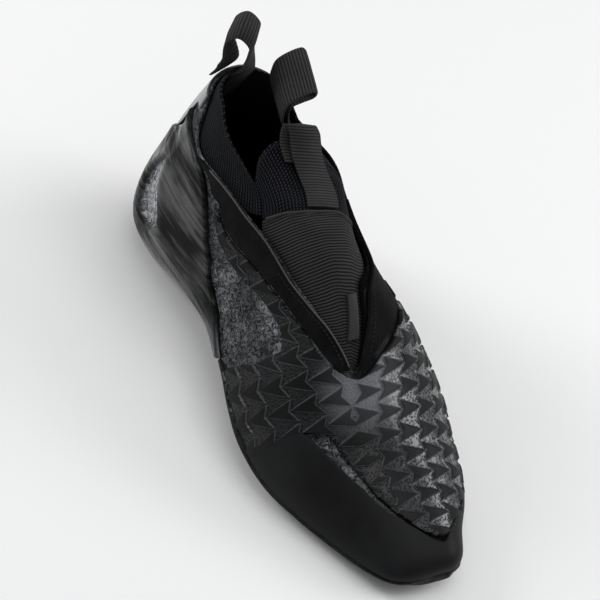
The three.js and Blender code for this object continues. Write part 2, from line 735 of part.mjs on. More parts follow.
// Stands at the back of the collar: one end on the heel tab, the other inside the knitted rim
function rearPullLoop() {
  const outside = 3 * layerGap + heelTabThickness + webbingThickness / 2;
  const inside = softOuter - knitThickness - 3 * layerGap - webbingThickness / 2;
  const outerLeg = legStations(rearLoopOuter, outside, rearLoopWidth);
  const innerLeg = legStations(rearLoopInner, inside, rearLoopWidth).reverse();
  const span = direction(rearLoopAcross).multiplyScalar(rearLoopSpan);
  const across = direction(rearLoopTurn).multiplyScalar(rearLoopWidth);
  const rise = new THREE.Vector3(0, 0, rearLoopRise);
  const arch = rearLoopArch.map(([side, up]) => {
    const centre = outerLeg[1].centre.clone().addScaledVector(span, side).addScaledVector(rise, up);
    return { centre, across };
  });
  return webbing(smoothStations([...outerLeg, ...arch, ...innerLeg], 24)).subtract(grown(collarSpec));
}

// Lies folded outward at the inner side of the collar, both ends inside the knitted rim
function medialPullLoop() {
  const inside = softOuter - knitThickness - medialLoopRoom - webbingThickness / 2;
  const foot = skin(medialLoopFoot, medialLoopAngle, inside);
  const rim = skin(medialLoopRim, medialLoopAngle, inside);
  const across = direction(medialLoopTurn).multiplyScalar(medialLoopWidth);
  const out = direction(medialLoopOut);
  const up = direction(medialLoopUp);
  const path = medialLoopPath.map(([reach, lift, depth]) => {
    const rise = lift * medialLoopLift + depth * medialLoopDepth;
    return rim.clone().addScaledVector(out, reach * medialLoopReach).addScaledVector(up, rise);
  });
  const behind = [rim, foot].map((point) => point.clone().addScaledVector(out, -webbingThickness - medialLoopSlack));
  const rows = [foot, rim, ...path, ...behind].map((centre) => ({ centre, across }));
  return webbing(smoothStations(rows, 26)).subtract(grown(collarSpec));
}

// A folded strip on the front of the tongue, its loop standing off the knit
function tonguePullTab() {
  const seat = softOuter + layerGap + webbingThickness / 2;
  const across = direction(tongueTabTurn).multiplyScalar(tongueTabWidth);
  const rows = tongueTabPath.map(([row, angle, share, lift]) => {
    const centre = skin(row, angle, seat + share * tongueTabStandOff);
    return { centre: centre.setZ(centre.z + lift), across };
  });
  return webbing(smoothStations(rows, 20)).subtract(grown(tongueSpec)).subtract(grown(goreSpec));
}

const shoe = new THREE.Group();
shoe.position.set(-heelRestX, -heelRestY, 0);

function addPiece(name, body, [colour, roughness]) {
  const material = new THREE.MeshStandardMaterial({ color: colour, roughness, metalness: 0 });
  const mesh = new THREE.Mesh(toGeometry(body), material);
  mesh.name = name;
  shoe.add(mesh);
}

addPiece('upper', upperShell(), colours.leather);
addPiece('outsole', outsole(), colours.sole);
addPiece('insole', insole(), colours.board);
addPiece('heel_cup', heelCup(), colours.rubber);
addPiece('heel_tab', heelTab(), colours.leather);
addPiece('toe_rubber', toeRubber(), colours.rubber);
addPiece('relief_layer', reliefLayer(), colours.rubber);
addPiece('throat_band', band(bandLow, bandTop), colours.suede);
addPiece('medial_patch', band(patchLow, patchTop), colours.suede);
addPiece('elastic_gore', elasticGore(), colours.elastic);
addPiece('knit_tongue', knitTongue(), colours.knit);
addPiece('knit_collar', knitCollar(), colours.knit);
addPiece('tag_bar', tagBar(), colours.rubber);
addPiece('rear_pull_loop', rearPullLoop(), colours.webbing);
addPiece('medial_pull_loop', medialPullLoop(), colours.webbing);
addPiece('tongue_pull_tab', tonguePullTab(), colours.webbing);

export default shoe;
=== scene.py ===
"""Dresses a right climbing shoe: fine layers laid on the same last as its solids, with darts,
seams, ribs, creases, grain and soft studio light."""

import bmesh
import bpy
import numpy as np
from mathutils import Matrix, Vector


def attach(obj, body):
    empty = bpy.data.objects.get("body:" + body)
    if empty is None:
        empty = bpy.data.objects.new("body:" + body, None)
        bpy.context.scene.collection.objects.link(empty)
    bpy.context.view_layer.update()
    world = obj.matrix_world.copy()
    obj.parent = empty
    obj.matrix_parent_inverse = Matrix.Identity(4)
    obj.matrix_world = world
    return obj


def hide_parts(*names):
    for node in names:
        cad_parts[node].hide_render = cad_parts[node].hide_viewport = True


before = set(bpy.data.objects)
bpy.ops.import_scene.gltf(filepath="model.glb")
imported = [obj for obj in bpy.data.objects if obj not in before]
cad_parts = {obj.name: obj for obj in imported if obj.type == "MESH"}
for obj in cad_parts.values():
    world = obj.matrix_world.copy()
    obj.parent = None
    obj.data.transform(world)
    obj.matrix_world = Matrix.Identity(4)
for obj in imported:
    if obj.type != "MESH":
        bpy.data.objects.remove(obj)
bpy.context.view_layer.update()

# Sizes of the last, in millimetres
LENGTH = 245
BALL_WIDTH = 94
HEEL_HEIGHT = 110
INSTEP_HEIGHT = 82
ORIGIN = (0.151 * LENGTH, 0.047 * BALL_WIDTH, 0.0)

# Walls and layers
WALL = 1.6
GAP = 0.3
KNIT = 1.1
GORE = 1.1
BAND = 1.1
RELIEF = 1.0
WING = 0.95
TOE_RUBBER = 1.5
HEEL_RUBBER = 2.3
HEEL_TAB = 0.9
SOLE = 3.9
SOLE_SIDE = 2.7
SOLE_EDGE = 1.2
FLAT_DEPTH = 1.0
INSOLE = 1.4
INSOLE_ROOM = 0.7
TAG = 1.3

# Webbing
WEBBING = 1.3
REAR_LOOP_RISE = 22
REAR_LOOP_SPAN = 13
REAR_LOOP_WIDTH = 13.5
REAR_LOOP_OUTER = (-72, 0.3, 0.85)
REAR_LOOP_INNER = (-84, 0.5, 1.7)
REAR_LOOP_ACROSS = (0.66, 0.62, 0)
REAR_LOOP_TURN = (0.62, -0.6, -0.5)
REAR_LOOP_ARCH = [[-0.2, 0.4], [-0.27, 0.76], [0.07, 1], [0.54, 0.86], [0.6, 0.62], [0.61, 0.34]]
MEDIAL_LOOP_REACH = 13
MEDIAL_LOOP_WIDTH = 22
MEDIAL_LOOP_DEPTH = 4.5
MEDIAL_LOOP_LIFT = 7
MEDIAL_LOOP_SLACK = 1.1
MEDIAL_LOOP_ROOM = 1.5
MEDIAL_LOOP_ANGLE = 182
MEDIAL_LOOP_ENDS = (1.5, 0.35)
MEDIAL_LOOP_OUT = (0, 1, 0.28)
MEDIAL_LOOP_UP = (0, -0.28, 1)
MEDIAL_LOOP_TURN = (0.93, -0.15, -0.3)
MEDIAL_LOOP_PATH = [
    [0.12, 1, 0], [0.55, 1.09, 0], [0.95, 1.09, 0], [1.06, 1, 0.5], [0.95, 1, 1], [0.5, 1.09, 1],
    [0, 1, 0.7], [-0.16, 0.71, 0],
]
TAB_WIDTH = 14.5
TAB_STAND_OFF = 4.2
TAB_TURN = (0.27, 0.96, -0.05)
TAB_PATH = [
    [3.3, 92, 0, 0], [2.7, 96, 0.1, 0], [2, 101, 0.45, 0], [1.3, 105, 0.95, 0], [0.7, 107, 1.3, 0],
    [0.3, 106, 1.4, 0], [0.1, 103, 1, 1.2], [0.3, 102, 0.5, 0.4], [0.8, 101, 0.2, 0], [1.4, 99, 0.1, 0],
]
RIB_PITCH = 1.45
RIB_HEIGHT = 0.42
RIB_POWER = 0.7
STRAP_LINES = 421
STRAP_SHARES = np.array([-0.5, -0.485, -0.455, -0.3, 0, 0.3, 0.455, 0.485, 0.5])
STRAP_EDGE_POWER = 14
STRAP_EDGE_LEAST = 0.06

# Round cords along the edges
TUBE_SIDES = 8
TUBE_END = 0.3

# Each inner sheet has one line for this many outside
COARSE = 4

# Shares of a rounded edge where its extra lines lie
EASE = np.array([0, 0.07, 0.24, 0.55])
EASED_LINES = 2 * len(EASE)
EDGE_LEAST = 0.12

# The upper's lines: degrees between them, and shares from its rim to the toe
UPPER_STEP = 1.5
UPPER_SHARES = np.concatenate([[0, 0.0006, 0.002, 0.004], np.linspace(0.0075, 0.999, 176)])
UPPER_EDGE = 0.8
UNDERFOOT = GAP + SOLE - FLAT_DEPTH
TOE_POLE = 18
SOFT = -WALL - 2 * GAP

# backX, backZ, frontX, frontZ, outer, inner, centreY, split, lowPower, topPower
LAST_ROWS = [
    [0.130, 1.030, 0.285, 1.320, 0.265, 0.130, 0.000, 0.50, 2.0, 2.0],
    [0.105, 0.890, 0.318, 1.205, 0.265, 0.190, 0.000, 0.50, 2.0, 2.0],
    [0.075, 0.700, 0.363, 1.150, 0.268, 0.270, 0.005, 0.48, 2.0, 2.3],
    [0.052, 0.470, 0.414, 1.145, 0.285, 0.345, 0.010, 0.45, 2.1, 2.4],
    [0.045, 0.220, 0.462, 1.120, 0.312, 0.370, 0.010, 0.43, 2.4, 2.1],
    [0.072, 0.042, 0.503, 1.055, 0.325, 0.390, 0.015, 0.40, 2.7, 2.0],
    [0.147, 0.000, 0.539, 0.960, 0.328, 0.410, 0.030, 0.36, 2.8, 2.0],
    [0.241, 0.030, 0.577, 0.880, 0.330, 0.430, 0.045, 0.33, 2.5, 2.0],
    [0.346, 0.078, 0.617, 0.800, 0.362, 0.450, 0.055, 0.30, 2.3, 2.1],
    [0.452, 0.086, 0.657, 0.710, 0.424, 0.480, 0.058, 0.28, 2.8, 2.1],
    [0.550, 0.058, 0.700, 0.605, 0.466, 0.512, 0.050, 0.26, 3.3, 2.1],
    [0.638, 0.026, 0.747, 0.505, 0.470, 0.535, 0.035, 0.24, 3.3, 2.1],
    [0.722, 0.006, 0.794, 0.420, 0.436, 0.512, 0.022, 0.23, 3.2, 2.1],
    [0.803, 0.000, 0.846, 0.355, 0.378, 0.452, 0.034, 0.23, 3.0, 2.1],
    [0.872, 0.004, 0.898, 0.300, 0.332, 0.346, 0.058, 0.25, 2.8, 2.1],
    [0.930, 0.014, 0.941, 0.252, 0.306, 0.212, 0.090, 0.30, 2.5, 2.1],
    [0.980, 0.031, 0.984, 0.205, 0.262, 0.110, 0.116, 0.40, 2.2, 2.0],
    [0.998, 0.055, 0.999, 0.160, 0.172, 0.044, 0.122, 0.50, 2.0, 2.0],
    [1.000, 0.087, 1.000, 0.117, 0.000, 0.000, 0.116, 0.50, 2.0, 2.0],
]

# Edges of the pieces: angle, row
LEATHER_TOP = [
    [-90, 0.75], [-45, 0.65], [-30, 0.95], [-14, 2.15], [-5, 2.45], [18, 3.05], [32, 3.65], [48, 4.9],
    [57, 6.7], [62, 7.5], [74, 8.95], [79, 9.45], [84, 8.9], [90, 8.0], [96, 6.95], [101, 6.4],
    [112, 6.15], [124, 5.8], [133, 5.15], [142, 4.45], [150, 3.95], [162, 3.3], [185, 2.45],
    [194, 2.15], [210, 0.95], [225, 0.65], [270, 0.75],
]
COLLAR_RIM = [
    [-220, 1.75], [-212, 1.3], [-198, 0.9], [-180, 0.4], [-160, 0.3], [-90, 0.55], [-40, 0.2],
    [-4, 0.25], [8, 0.75], [21, 1.35], [34, 1.85], [40, 2.35],
]
COLLAR_END = [
    [-220, 4.8], [-200, 4.1], [-180, 3.4], [-160, 2.9], [-90, 2.4], [-20, 2.9], [0, 3.3], [20, 3.7],
    [40, 3.85],
]
COLLAR_ANGLES = (42.2, -220)
TONGUE_TOP = [[42, 2.35], [57, 1.1], [78, 0.55], [100, 0.45], [124, 0.7], [138, 1.75]]
GORE_SEAM = [[42, 4.0], [65, 3.4], [80, 3.3], [100, 3.55], [115, 4.1], [138, 5.1]]
TONGUE_ANGLES = (43, 139.2)
SEAM_SHARE = 0.05
GORE_END = 9.5
TAB_ANGLES = (-28, -152)
TAB_TOP = 0.74
TAB_END = [
    [-152, 1.38], [-141, 1.42], [-136, 1.95], [-130, 2.6], [-90, 3.1], [-50, 2.6], [-44, 1.95],
    [-39, 1.42], [-28, 1.38],
]
RELIEF_START = [
    [-12, 9.15], [24, 8.9], [40, 8.5], [50, 8.25], [60, 8.85], [68, 9.35], [77, 9.8], [86, 9.6],
    [93, 9.25], [104, 8.85], [115, 8.45], [126, 8.15], [134, 8.05], [150, 8.6], [192, 9.15],
]
# Edges of the pieces: row, angle
GORE_OUTER = [[3.3, 38], [4.9, 42], [6.7, 51], [7.5, 57], [8.9, 69], [9.6, 76]]
GORE_INNER = [[3.3, 145], [5.1, 142], [6.3, 125], [7.2, 114], [8.0, 106], [8.9, 93], [9.6, 83]]
CUP_FRONT = [
    [1.7, -40], [1.95, -31], [2.3, -14], [2.5, -6], [2.95, 4], [3.45, 10], [3.95, 14], [4.65, 17],
    [5.4, 17], [6.45, 11], [7.9, 1], [8.9, -12],
]
CUP_TOP = [
    [0, 1.7], [0.05, 2.05], [0.18, 2.38], [0.28, 2.7], [0.5, 3.0], [0.72, 2.7], [0.82, 2.38],
    [0.95, 2.05], [1, 1.7],
]
CUP_END = 8.9
BAND_ROWS = (2.6, 9.4)
BAND_LOW = [
    [2.6, -2], [3.0, 8], [3.45, 14], [3.7, 20], [4.55, 27], [5.85, 40.5], [7.35, 47.5], [8.6, 59],
    [9.2, 67], [9.6, 74],
]
BAND_TOP = [
    [2.6, 1.5], [3.0, 18], [3.6, 32], [4.85, 48], [6.7, 56.5], [7.25, 60], [8.0, 67], [8.95, 74],
    [9.6, 77.4],
]
PATCH_LOW = [
    [2.6, 181], [3.0, 171.5], [3.45, 165], [3.7, 162], [4.55, 156], [5.85, 148], [6.8, 141], [7.7, 131],
    [8.2, 114], [9.0, 92.5], [9.6, 83],
]
PATCH_TOP = [
    [2.6, 178.5], [3.0, 165], [3.6, 153.5], [4.4, 144.5], [5.2, 136], [5.85, 128.5], [6.2, 121],
    [6.5, 110], [7.0, 101], [8.0, 92.5], [9.0, 84.5], [9.6, 79.5],
]
OUTER_WING_ROWS = (3.9, 9.0)
OUTER_WING_LOW = [[3.9, 18.5], [4.5, 21], [6.1, 29], [6.95, 34], [8.2, 38], [9.0, 34]]
OUTER_WING_TOP = [[3.9, 20.5], [4.55, 25.5], [5.85, 39], [7.35, 46], [8.2, 54], [9.0, 60]]
INNER_WING_ROWS = (4.5, 9.0)
INNER_WING_TOP = [
    [4.5, 158.8], [4.9, 156.3], [5.85, 150.8], [6.8, 143.8], [7.7, 135], [8.2, 128], [9.0, 116],
]
INNER_WING_LOW = [[4.5, 160.5], [4.9, 160], [6.1, 156], [6.95, 150.5], [8.2, 144], [9.0, 146]]
RELIEF_ANGLES = (-12, 192)
RELIEF_LOWER = [
    [11.05, -12], [11.1, 16], [10.9, 42], [11.35, 62], [12.3, 65], [13.3, 67], [14.3, 74], [15.3, 89],
    [15.3, 118], [14.8, 143], [14.05, 159], [13.15, 174], [12.5, 184], [12.1, 192],
]
TOE_UPPER = [
    [10.92, 2], [10.9, 22], [10.87, 43], [11.75, 54], [12.7, 60], [13.7, 65], [14.7, 76], [15.55, 91],
    [15.1, 118], [14.55, 136], [13.8, 152], [12.9, 168], [12.2, 177], [11.5, 184],
]
TOE_LOWER = [
    [10.95, -9], [11.7, -9], [12.6, -9], [13.6, -9], [14.6, -9], [15.6, -9], [16.5, -12], [17.45, -45],
    [17.55, -90], [17.45, -135], [16.5, -169], [15.0, -171.5], [13.4, -171.5], [11.7, -171.5],
]
# The leather's matt hem round the throat, in millimetres, and the angles it lies between
HEM = 3.5
HEM_FADE = 1.5
HEM_ANGLES = (10, 175)
SOLE_ROWS = (8.94, 17.5)
SOLE_ANGLES = (-9, -171)
SOLE_PROFILE = [[9.05, 0.28], [9.8, 0.6], [10.8, 1], [14.6, 1], [16.2, 0.85], [17.55, 0.6]]
UNDER_SOLE = [[0, SOLE_SIDE], [0.16, SOLE_SIDE], [0.34, SOLE], [0.5, SOLE]]
SEAT_PROFILE = [[3.2, 0], [5.0, 1], [7.0, 1], [8.2, 0.35], [8.9, -0.25]]
OPENING_ROWS = (6.6, 16.0)
OPENING_ANGLES = (-58, -122)
INSOLE_ROWS = (5.7, 16.4)
INSOLE_ANGLES = (-50, -130)
SLOT_ROWS = (3.25, 5.05)
SLOT_REAR = [[3.25, -31], [3.8, -38], [4.3, -38], [4.75, -30], [5.05, -16]]
SLOT_FRONT = [[3.25, -28], [3.8, -21], [4.3, -14.5], [4.75, -11], [5.05, -11]]
# The slot in millimetres: what a degree and a row measure there, floor, lip and swollen rim
SLOT_DEGREE = 0.52
SLOT_ROW = 16
SLOT_DEEPEST = 4
SLOT_FLOOR = 0.15
SLOT_FLOOR_DEPTH = 0.3
SLOT_LIP_START = 1.3
SLOT_LIP = 1.6
SLOT_SWELL = 0.5
SLOT_SWELL_AT = 2.6
SLOT_SWELL_WIDTH = 1.8
TAG_ROWS = (6.75, 8.45)
TAG_ANGLES = [[6.75, 90], [8.45, 81.5]]
TAG_SPREAD = 4.2

# Creases, listed one by one: row, angle at both ends, depth (a ridge is negative) and half width
CREASES = [
    (1.9, -44, 3.3, -22, 0.55, 2.6),
    (2.1, -52, 3.5, -33, 0.45, 2.2),
    (2.0, -36, 3.0, -14, -0.35, 2.4),
    (4.9, -24, 6.4, -6, 0.8, 5.0),
    (5.2, -40, 7.2, -22, 0.45, 4.0),
    (3.4, -48, 4.9, -46, -0.5, 4.0),
    (6.6, 17, 7.9, 26, 0.5, 2.4),
    (7.1, 12, 8.6, 14, 0.45, 2.6),
    (7.0, 24, 8.2, 32, 0.4, 2.0),
    (9.7, 62, 10.8, 48, 0.45, 4.0),
    (9.9, 96, 10.9, 122, 0.45, 4.0),
    (4.4, 62, 4.9, 104, 0.5, 3.5),
    (5.6, 66, 6.0, 96, -0.35, 3.5),
    (3.2, 2, 4.3, 20, 0.4, 2.5),
    (1.2, 4, 2.6, 26, 0.35, 3.0),
]

# The grip darts, in millimetres on the spread-out skin: forward and towards the ridge
DART_STEP = (9.6, 2.6)
DART_ROW = (0.95, -11.3)
DART_DROP = (0.464, 0.2535)
DART_SLANT = 0.88
DART_SQUARE = 0.85
DART_HEIGHT = 0.75
DART_FACE = 0.3
DART_EDGE = 0.34
DART_BED = 0.25
DART_MARGIN = 0.3
DART_FADE = 0.6
RIDGE_ANGLE = 75
RIDGE_MEETS = 10.45
SPREAD_ROWS = np.linspace(3, TOE_POLE - 0.05, 80)
SPREAD_TURNS = np.linspace(-20, 200, 111)

# The photo's view: the aim, its place in the picture, axes and reach
VIEW_AIM = (122, 5, 45)
VIEW_AT = (313.36, 312.91)
VIEW_BACK = (0.484, -0.532, 0.695)
VIEW_UP = (-0.725, 0.201, 0.659)
VIEW_DISTANCE = 1530.2
VIEW_SCALE = 2.291
PICTURE = 600
SENSOR = 36

# Soft lights: name, place, size in metres and power in watts
LIGHTS = [
    ("overhead", (0.1, 0.1, 1.3), (1.3, 1.3), 5.0),
    ("near_window", (0.45, 0.3, 1.1), (0.4, 0.4), 1.0),
    ("left_window", (-0.75, -0.75, 0.6), (0.4, 0.6), 6.5),
    ("far_window", (0.5, 1.1, 0.7), (0.9, 0.5), 6.5),
]
LIGHT_AIM = (0.08, 0, 0.03)
ROOM_LIGHT = 0.32
ROOM_COLOUR = (0.97, 0.98, 1.0, 1)
FLOOR_REACH = 6
FLOOR_DROP = 0.0004
FLOOR_GREY = 0.97


def follow(table, at):
    """Smooth value of a two-column table, with no overshoot between its rows."""
    xs, ys = np.array(table, float).T
    slopes = np.diff(ys) / np.diff(xs)
    both = slopes[:-1] * slopes[1:]
    mean = 2 * both / np.where(both > 0, slopes[:-1] + slopes[1:], 1)
    tangents = np.concatenate([slopes[:1], np.where(both > 0, mean, 0), slopes[-1:]])
    at = np.clip(at, xs[0], xs[-1])
    i = np.clip(np.searchsorted(xs, at, side="right") - 1, 0, len(xs) - 2)
    span = xs[i + 1] - xs[i]
    f = (at - xs[i]) / span
    rise = ys[i + 1] - ys[i]
    a = tangents[i] * span
    b = tangents[i + 1] * span
    return ys[i] + f * (a + f * (3 * rise - 2 * a - b + f * (a + b - 2 * rise)))


def mix(a, b, share):
    return a + (b - a) * share


def section_fan():
    rows = np.array(LAST_ROWS)
    rows[:, [0, 2]] *= LENGTH
    rows[:, 1] = UNDERFOOT + rows[:, 1] * HEEL_HEIGHT
    rows[:, 3] = UNDERFOOT + rows[:, 3] * INSTEP_HEIGHT
    rows[-1, 3] = rows[-1, 1]
    rows[:, 4:7] *= BALL_WIDTH
    past_toe = rows[-2].copy()
    past_toe[4:6] *= -1
    past_toe[[1, 3]] = past_toe[[3, 1]]
    return np.vstack([2 * rows[0] - rows[1], rows, past_toe])


FAN = section_fan()


def last_point(row, angle):
    """Points of the last, in millimetres."""
    at = np.clip(np.asarray(row, float), 0, TOE_POLE)
    i = np.minimum(at.astype(int), TOE_POLE - 1)
    f = (at - i)[..., None]
    p0, p1, p2, p3 = FAN[i], FAN[i + 1], FAN[i + 2], FAN[i + 3]
    rows = p1 + 0.5 * f * (p2 - p0 + f * (2 * p0 - 5 * p1 + 4 * p2 - p3 + f * (3 * (p1 - p2) + p3 - p0)))
    back_x, back_z, front_x, front_z, outer, inner, centre, split, low, top = np.moveaxis(rows, -1, 0)
    c = np.cos(np.radians(angle))
    s = np.sin(np.radians(angle))
    power = 2 / np.where(s < 0, low, top)
    across = np.sign(c) * np.abs(c) ** power
    along = np.sign(s) * np.abs(s) ** power
    t = split + np.where(s < 0, split, 1 - split) * along
    y = centre - np.where(c > 0, outer, inner) * across
    return np.stack([mix(back_x, front_x, t), y, mix(back_z, front_z, t)], -1)


def unit(v):
    return v / np.maximum(np.linalg.norm(v, axis=-1, keepdims=True), 1e-9)


def normal_at(row, angle):
    row, angle = np.broadcast_arrays(np.asarray(row, float), np.asarray(angle, float))
    at = np.minimum(row, TOE_POLE - 0.001)
    ahead = last_point(np.minimum(at + 0.04, TOE_POLE), angle)
    along = ahead - last_point(np.maximum(at - 0.04, 0), angle)
    around = last_point(at, angle + 1.5) - last_point(at, angle - 1.5)
    normal = unit(np.cross(along, around))
    normal[at > TOE_POLE - 0.06] = (1, 0, 0)
    return normal


def crease_offset(points):
    """How far the listed creases push the skin out or in."""
    total = np.zeros(points.shape[:-1])
    for row0, angle0, row1, angle1, depth, half in CREASES:
        t = np.linspace(0, 1, 14)
        line = last_point(mix(row0, row1, t), mix(angle0, angle1, t))
        near = np.full(points.shape[:-1], 1e9)
        share = np.zeros(points.shape[:-1])
        for k, place in enumerate(line):
            d = np.sum((points - place) ** 2, -1)
            share = np.where(d < near, t[k], share)
            near = np.minimum(near, d)
        fade = np.sin(np.pi * np.clip(share, 0.04, 0.96)) ** 0.6
        total -= depth * fade * np.exp(-near / half ** 2)
    return total


def skin(row, angle, offset, creased=True):
    """Points off the last along its normal."""
    row, angle = np.broadcast_arrays(np.asarray(row, float), np.asarray(angle, float))
    base = last_point(row, angle)
    off = np.asarray(offset, float)
    if creased:
        off = off + crease_offset(base)
    off = np.broadcast_to(off, base.shape[:-1])
    return base + normal_at(row, angle) * off[..., None]


def to_plane(places):
    row, angle = np.array(places, float).T
    reach = TOE_POLE - row
    return np.stack([reach * np.cos(np.radians(angle)), reach * np.sin(np.radians(angle))], -1)


def from_plane(p):
    angle = np.degrees(np.arctan2(p[..., 1], p[..., 0]))
    return TOE_POLE - np.hypot(p[..., 0], p[..., 1]), angle


def smooth_line(points, at):
    """A centripetal curve through points, read at shares of its count."""
    pts = np.array(points, float)
    pts = np.vstack([2 * pts[0] - pts[1], pts, 2 * pts[-1] - pts[-2]])
    count = len(pts) - 3
    p = np.clip(np.asarray(at, float), 0, 1) * count
    i = np.minimum(p.astype(int), count - 1)
    f = (p - i)[..., None]
    p0, p1, p2, p3 = pts[i], pts[i + 1], pts[i + 2], pts[i + 3]
    gap = [np.maximum(np.linalg.norm(b - a, axis=-1, keepdims=True), 1e-6) ** 0.5
           for a, b in ((p0, p1), (p1, p2), (p2, p3))]
    t1 = ((p1 - p0) / gap[0] - (p2 - p0) / (gap[0] + gap[1]) + (p2 - p1) / gap[1]) * gap[1]
    t2 = ((p2 - p1) / gap[1] - (p3 - p1) / (gap[1] + gap[2]) + (p3 - p2) / gap[2]) * gap[1]
    return p1 + f * (t1 + f * (3 * (p2 - p1) - 2 * t1 - t2 + f * (t1 + t2 - 2 * (p2 - p1))))


def between(upper_edge, lower_edge):
    """Places between two edges, straight in the plane round the toe."""
    above, below = to_plane(upper_edge), to_plane(lower_edge)

    def place(u, v):
        a, b = smooth_line(above, u), smooth_line(below, u)
        return from_plane(mix(a, b, v[..., None]))

    return place


def panel(start, end, left, right):
    """Places of a panel whose ends are rows and whose sides are angles."""

    def place(u, v):
        row = mix(start(u), end(u), v)
        return row, mix(left(row), right(row), u)

    return place


def const(value):
    return lambda *_: value


def edge(table):
    return lambda at: follow(table, at)


def new_mesh(name, points, faces, uv=None):
    """An object from points in millimetres and faces, facing out, with its own UV."""
    points = np.asarray(points, float)
    corner = points - points.mean(0)
    volume = 0
    for f in faces:
        for k in range(1, f.shape[1] - 1):
            a, b, c = corner[f[:, 0]], corner[f[:, k]], corner[f[:, k + 1]]
            volume += np.sum(a * np.cross(b, c))
    if volume < 0:
        faces = [f[:, ::-1] for f in faces]
    mesh = bpy.data.meshes.new(name)
    place = (points - ORIGIN) / 1000
    mesh.vertices.add(len(place))
    mesh.vertices.foreach_set("co", place.ravel())
    loops = np.concatenate([f.ravel() for f in faces])
    sizes = np.concatenate([np.full(len(f), f.shape[1]) for f in faces])
    mesh.loops.add(len(loops))
    mesh.loops.foreach_set("vertex_index", loops.astype(np.int32))
    mesh.polygons.add(len(sizes))
    starts = np.concatenate([[0], np.cumsum(sizes)[:-1]])
    mesh.polygons.foreach_set("loop_start", starts.astype(np.int32))
    mesh.update(calc_edges=True)
    if uv is not None:
        layer = mesh.uv_layers.new(name="lie")
        layer.data.foreach_set("uv", np.asarray(uv, float)[loops].ravel())
    mesh.polygons.foreach_set("use_smooth", np.ones(len(sizes), bool))
    mesh.update()
    obj = bpy.data.objects.new(name, mesh)
    bpy.context.scene.collection.objects.link(obj)
    return obj


def grid_faces(m, n, first=0):
    i, j = np.meshgrid(np.arange(m - 1), np.arange(n - 1), indexing="ij")
    a = first + i * n + j
    return np.stack([a, a + n, a + n + 1, a + 1], -1).reshape(-1, 4)


def outline_of(index):
    return np.concatenate([index[0, :-1], index[:-1, -1], index[-1, :0:-1], index[:0:-1, 0]])


def slab(name, low, high, uv):
    """A closed piece: a fine outer sheet, a coarse inner one, and a rim between them."""
    m, n = high.shape[:2]
    fine = np.arange(m * n).reshape(m, n)
    coarse_low = low[::COARSE, ::COARSE]
    rows, columns = coarse_low.shape[:2]
    coarse = m * n + np.arange(rows * columns).reshape(rows, columns)
    outer = grid_faces(m, n)
    inner = grid_faces(rows, columns, m * n)[:, ::-1]
    near, far = outline_of(fine), outline_of(coarse)
    half = COARSE // 2
    rim = [np.stack([far, near[half::COARSE], np.roll(far, -1)], -1)]
    for t in range(COARSE):
        here = near[t::COARSE]
        after = np.roll(near, -t - 1)[::COARSE]
        rim.append(np.stack([far if t < half else np.roll(far, -1), here, after], -1))
    points = np.concatenate([high.reshape(-1, 3), coarse_low.reshape(-1, 3)])
    lie = np.concatenate([uv.reshape(-1, 2), uv[::COARSE, ::COARSE].reshape(-1, 2)])
    piece = new_mesh(name, points, [outer, inner, np.concatenate(rim)], lie)
    settle_normals(piece)
    return piece


def divisible(count, extra):
    """The next count of lines that leaves whole coarse steps."""
    return -(-(count + extra) // COARSE) * COARSE - extra


def eased(count, ease):
    """Shares from 0 to 1 with extra ones close to both ends, for a rounded edge."""
    ends = ease * EASE
    return np.concatenate([ends, np.linspace(ease, 1 - ease, count), 1 - ends[::-1]])


def run(points, axis):
    """Distance gone along one axis of a sheet."""
    step = np.linalg.norm(np.diff(points, axis=axis), axis=-1)
    start = np.zeros_like(np.take(step, [0], axis))
    return np.concatenate([start, np.cumsum(step, axis)], axis)


def sheet_lines(place, count, lip):
    """Shares across and along a layer, closer together at its edges."""
    t = np.linspace(0, 1, 24)
    half = np.full_like(t, 0.5)
    width = run(last_point(*place(t, half))[None], 1)[0, -1]
    length = run(last_point(*place(half, t))[None], 1)[0, -1]
    m, n = (divisible(c, EASED_LINES - 1) for c in count)
    return np.meshgrid(eased(m, lip / width), eased(n, lip / length), indexing="ij")


def write_marks(piece, *marks):
    """Writes a share on every point, for its material to read."""
    data = piece.data.attributes.new("mark", "FLOAT", "POINT").data
    data.foreach_set("value", np.concatenate([m.ravel() for m in marks]).astype(np.float32))


def lay(name, node, slot, place, inner, outer, count, lip=0.6, raised=None, floor_cut=False):
    """Lays a closed layer on the last, its edges rounded over a lip, in place of a CAD node."""
    u, v = sheet_lines(place, count, lip)
    row, angle = place(u, v)
    base = last_point(row, angle)
    across, along = run(base, 0), run(base, 1)
    rest = np.minimum(across, across[-1:] - across), np.minimum(along, along[:, -1:] - along)
    near = np.minimum(*rest)
    round_over = np.sqrt(1 - (1 - np.clip(near / lip, 0, 1)) ** 2)
    low = inner + crease_offset(base)
    full = outer(row, angle, u, v) + crease_offset(base)
    high = mix(low, full, EDGE_LEAST + (1 - EDGE_LEAST) * round_over)
    mark = None
    if raised is not None:
        low, high, mark = raised(row, angle, low, high, near)
    normal = normal_at(row, angle)
    sheets = [base + normal * off[..., None] for off in (low, high)]
    if floor_cut:
        for sheet in sheets:
            sheet[..., 2] = np.maximum(sheet[..., 2], 0)
    piece = slab(name, *sheets, np.stack([across, along], -1) / 10)
    if mark is not None:
        write_marks(piece, mark, mark[::COARSE, ::COARSE])
    return dress(piece, slot, node)


def dress(piece, slot, *nodes, look=None):
    piece.data.materials.append(LOOKS[look or slot])
    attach(piece, "root")
    if nodes and nodes[0]:
        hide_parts(*nodes)
    return piece


FULL_TURN = 6.28


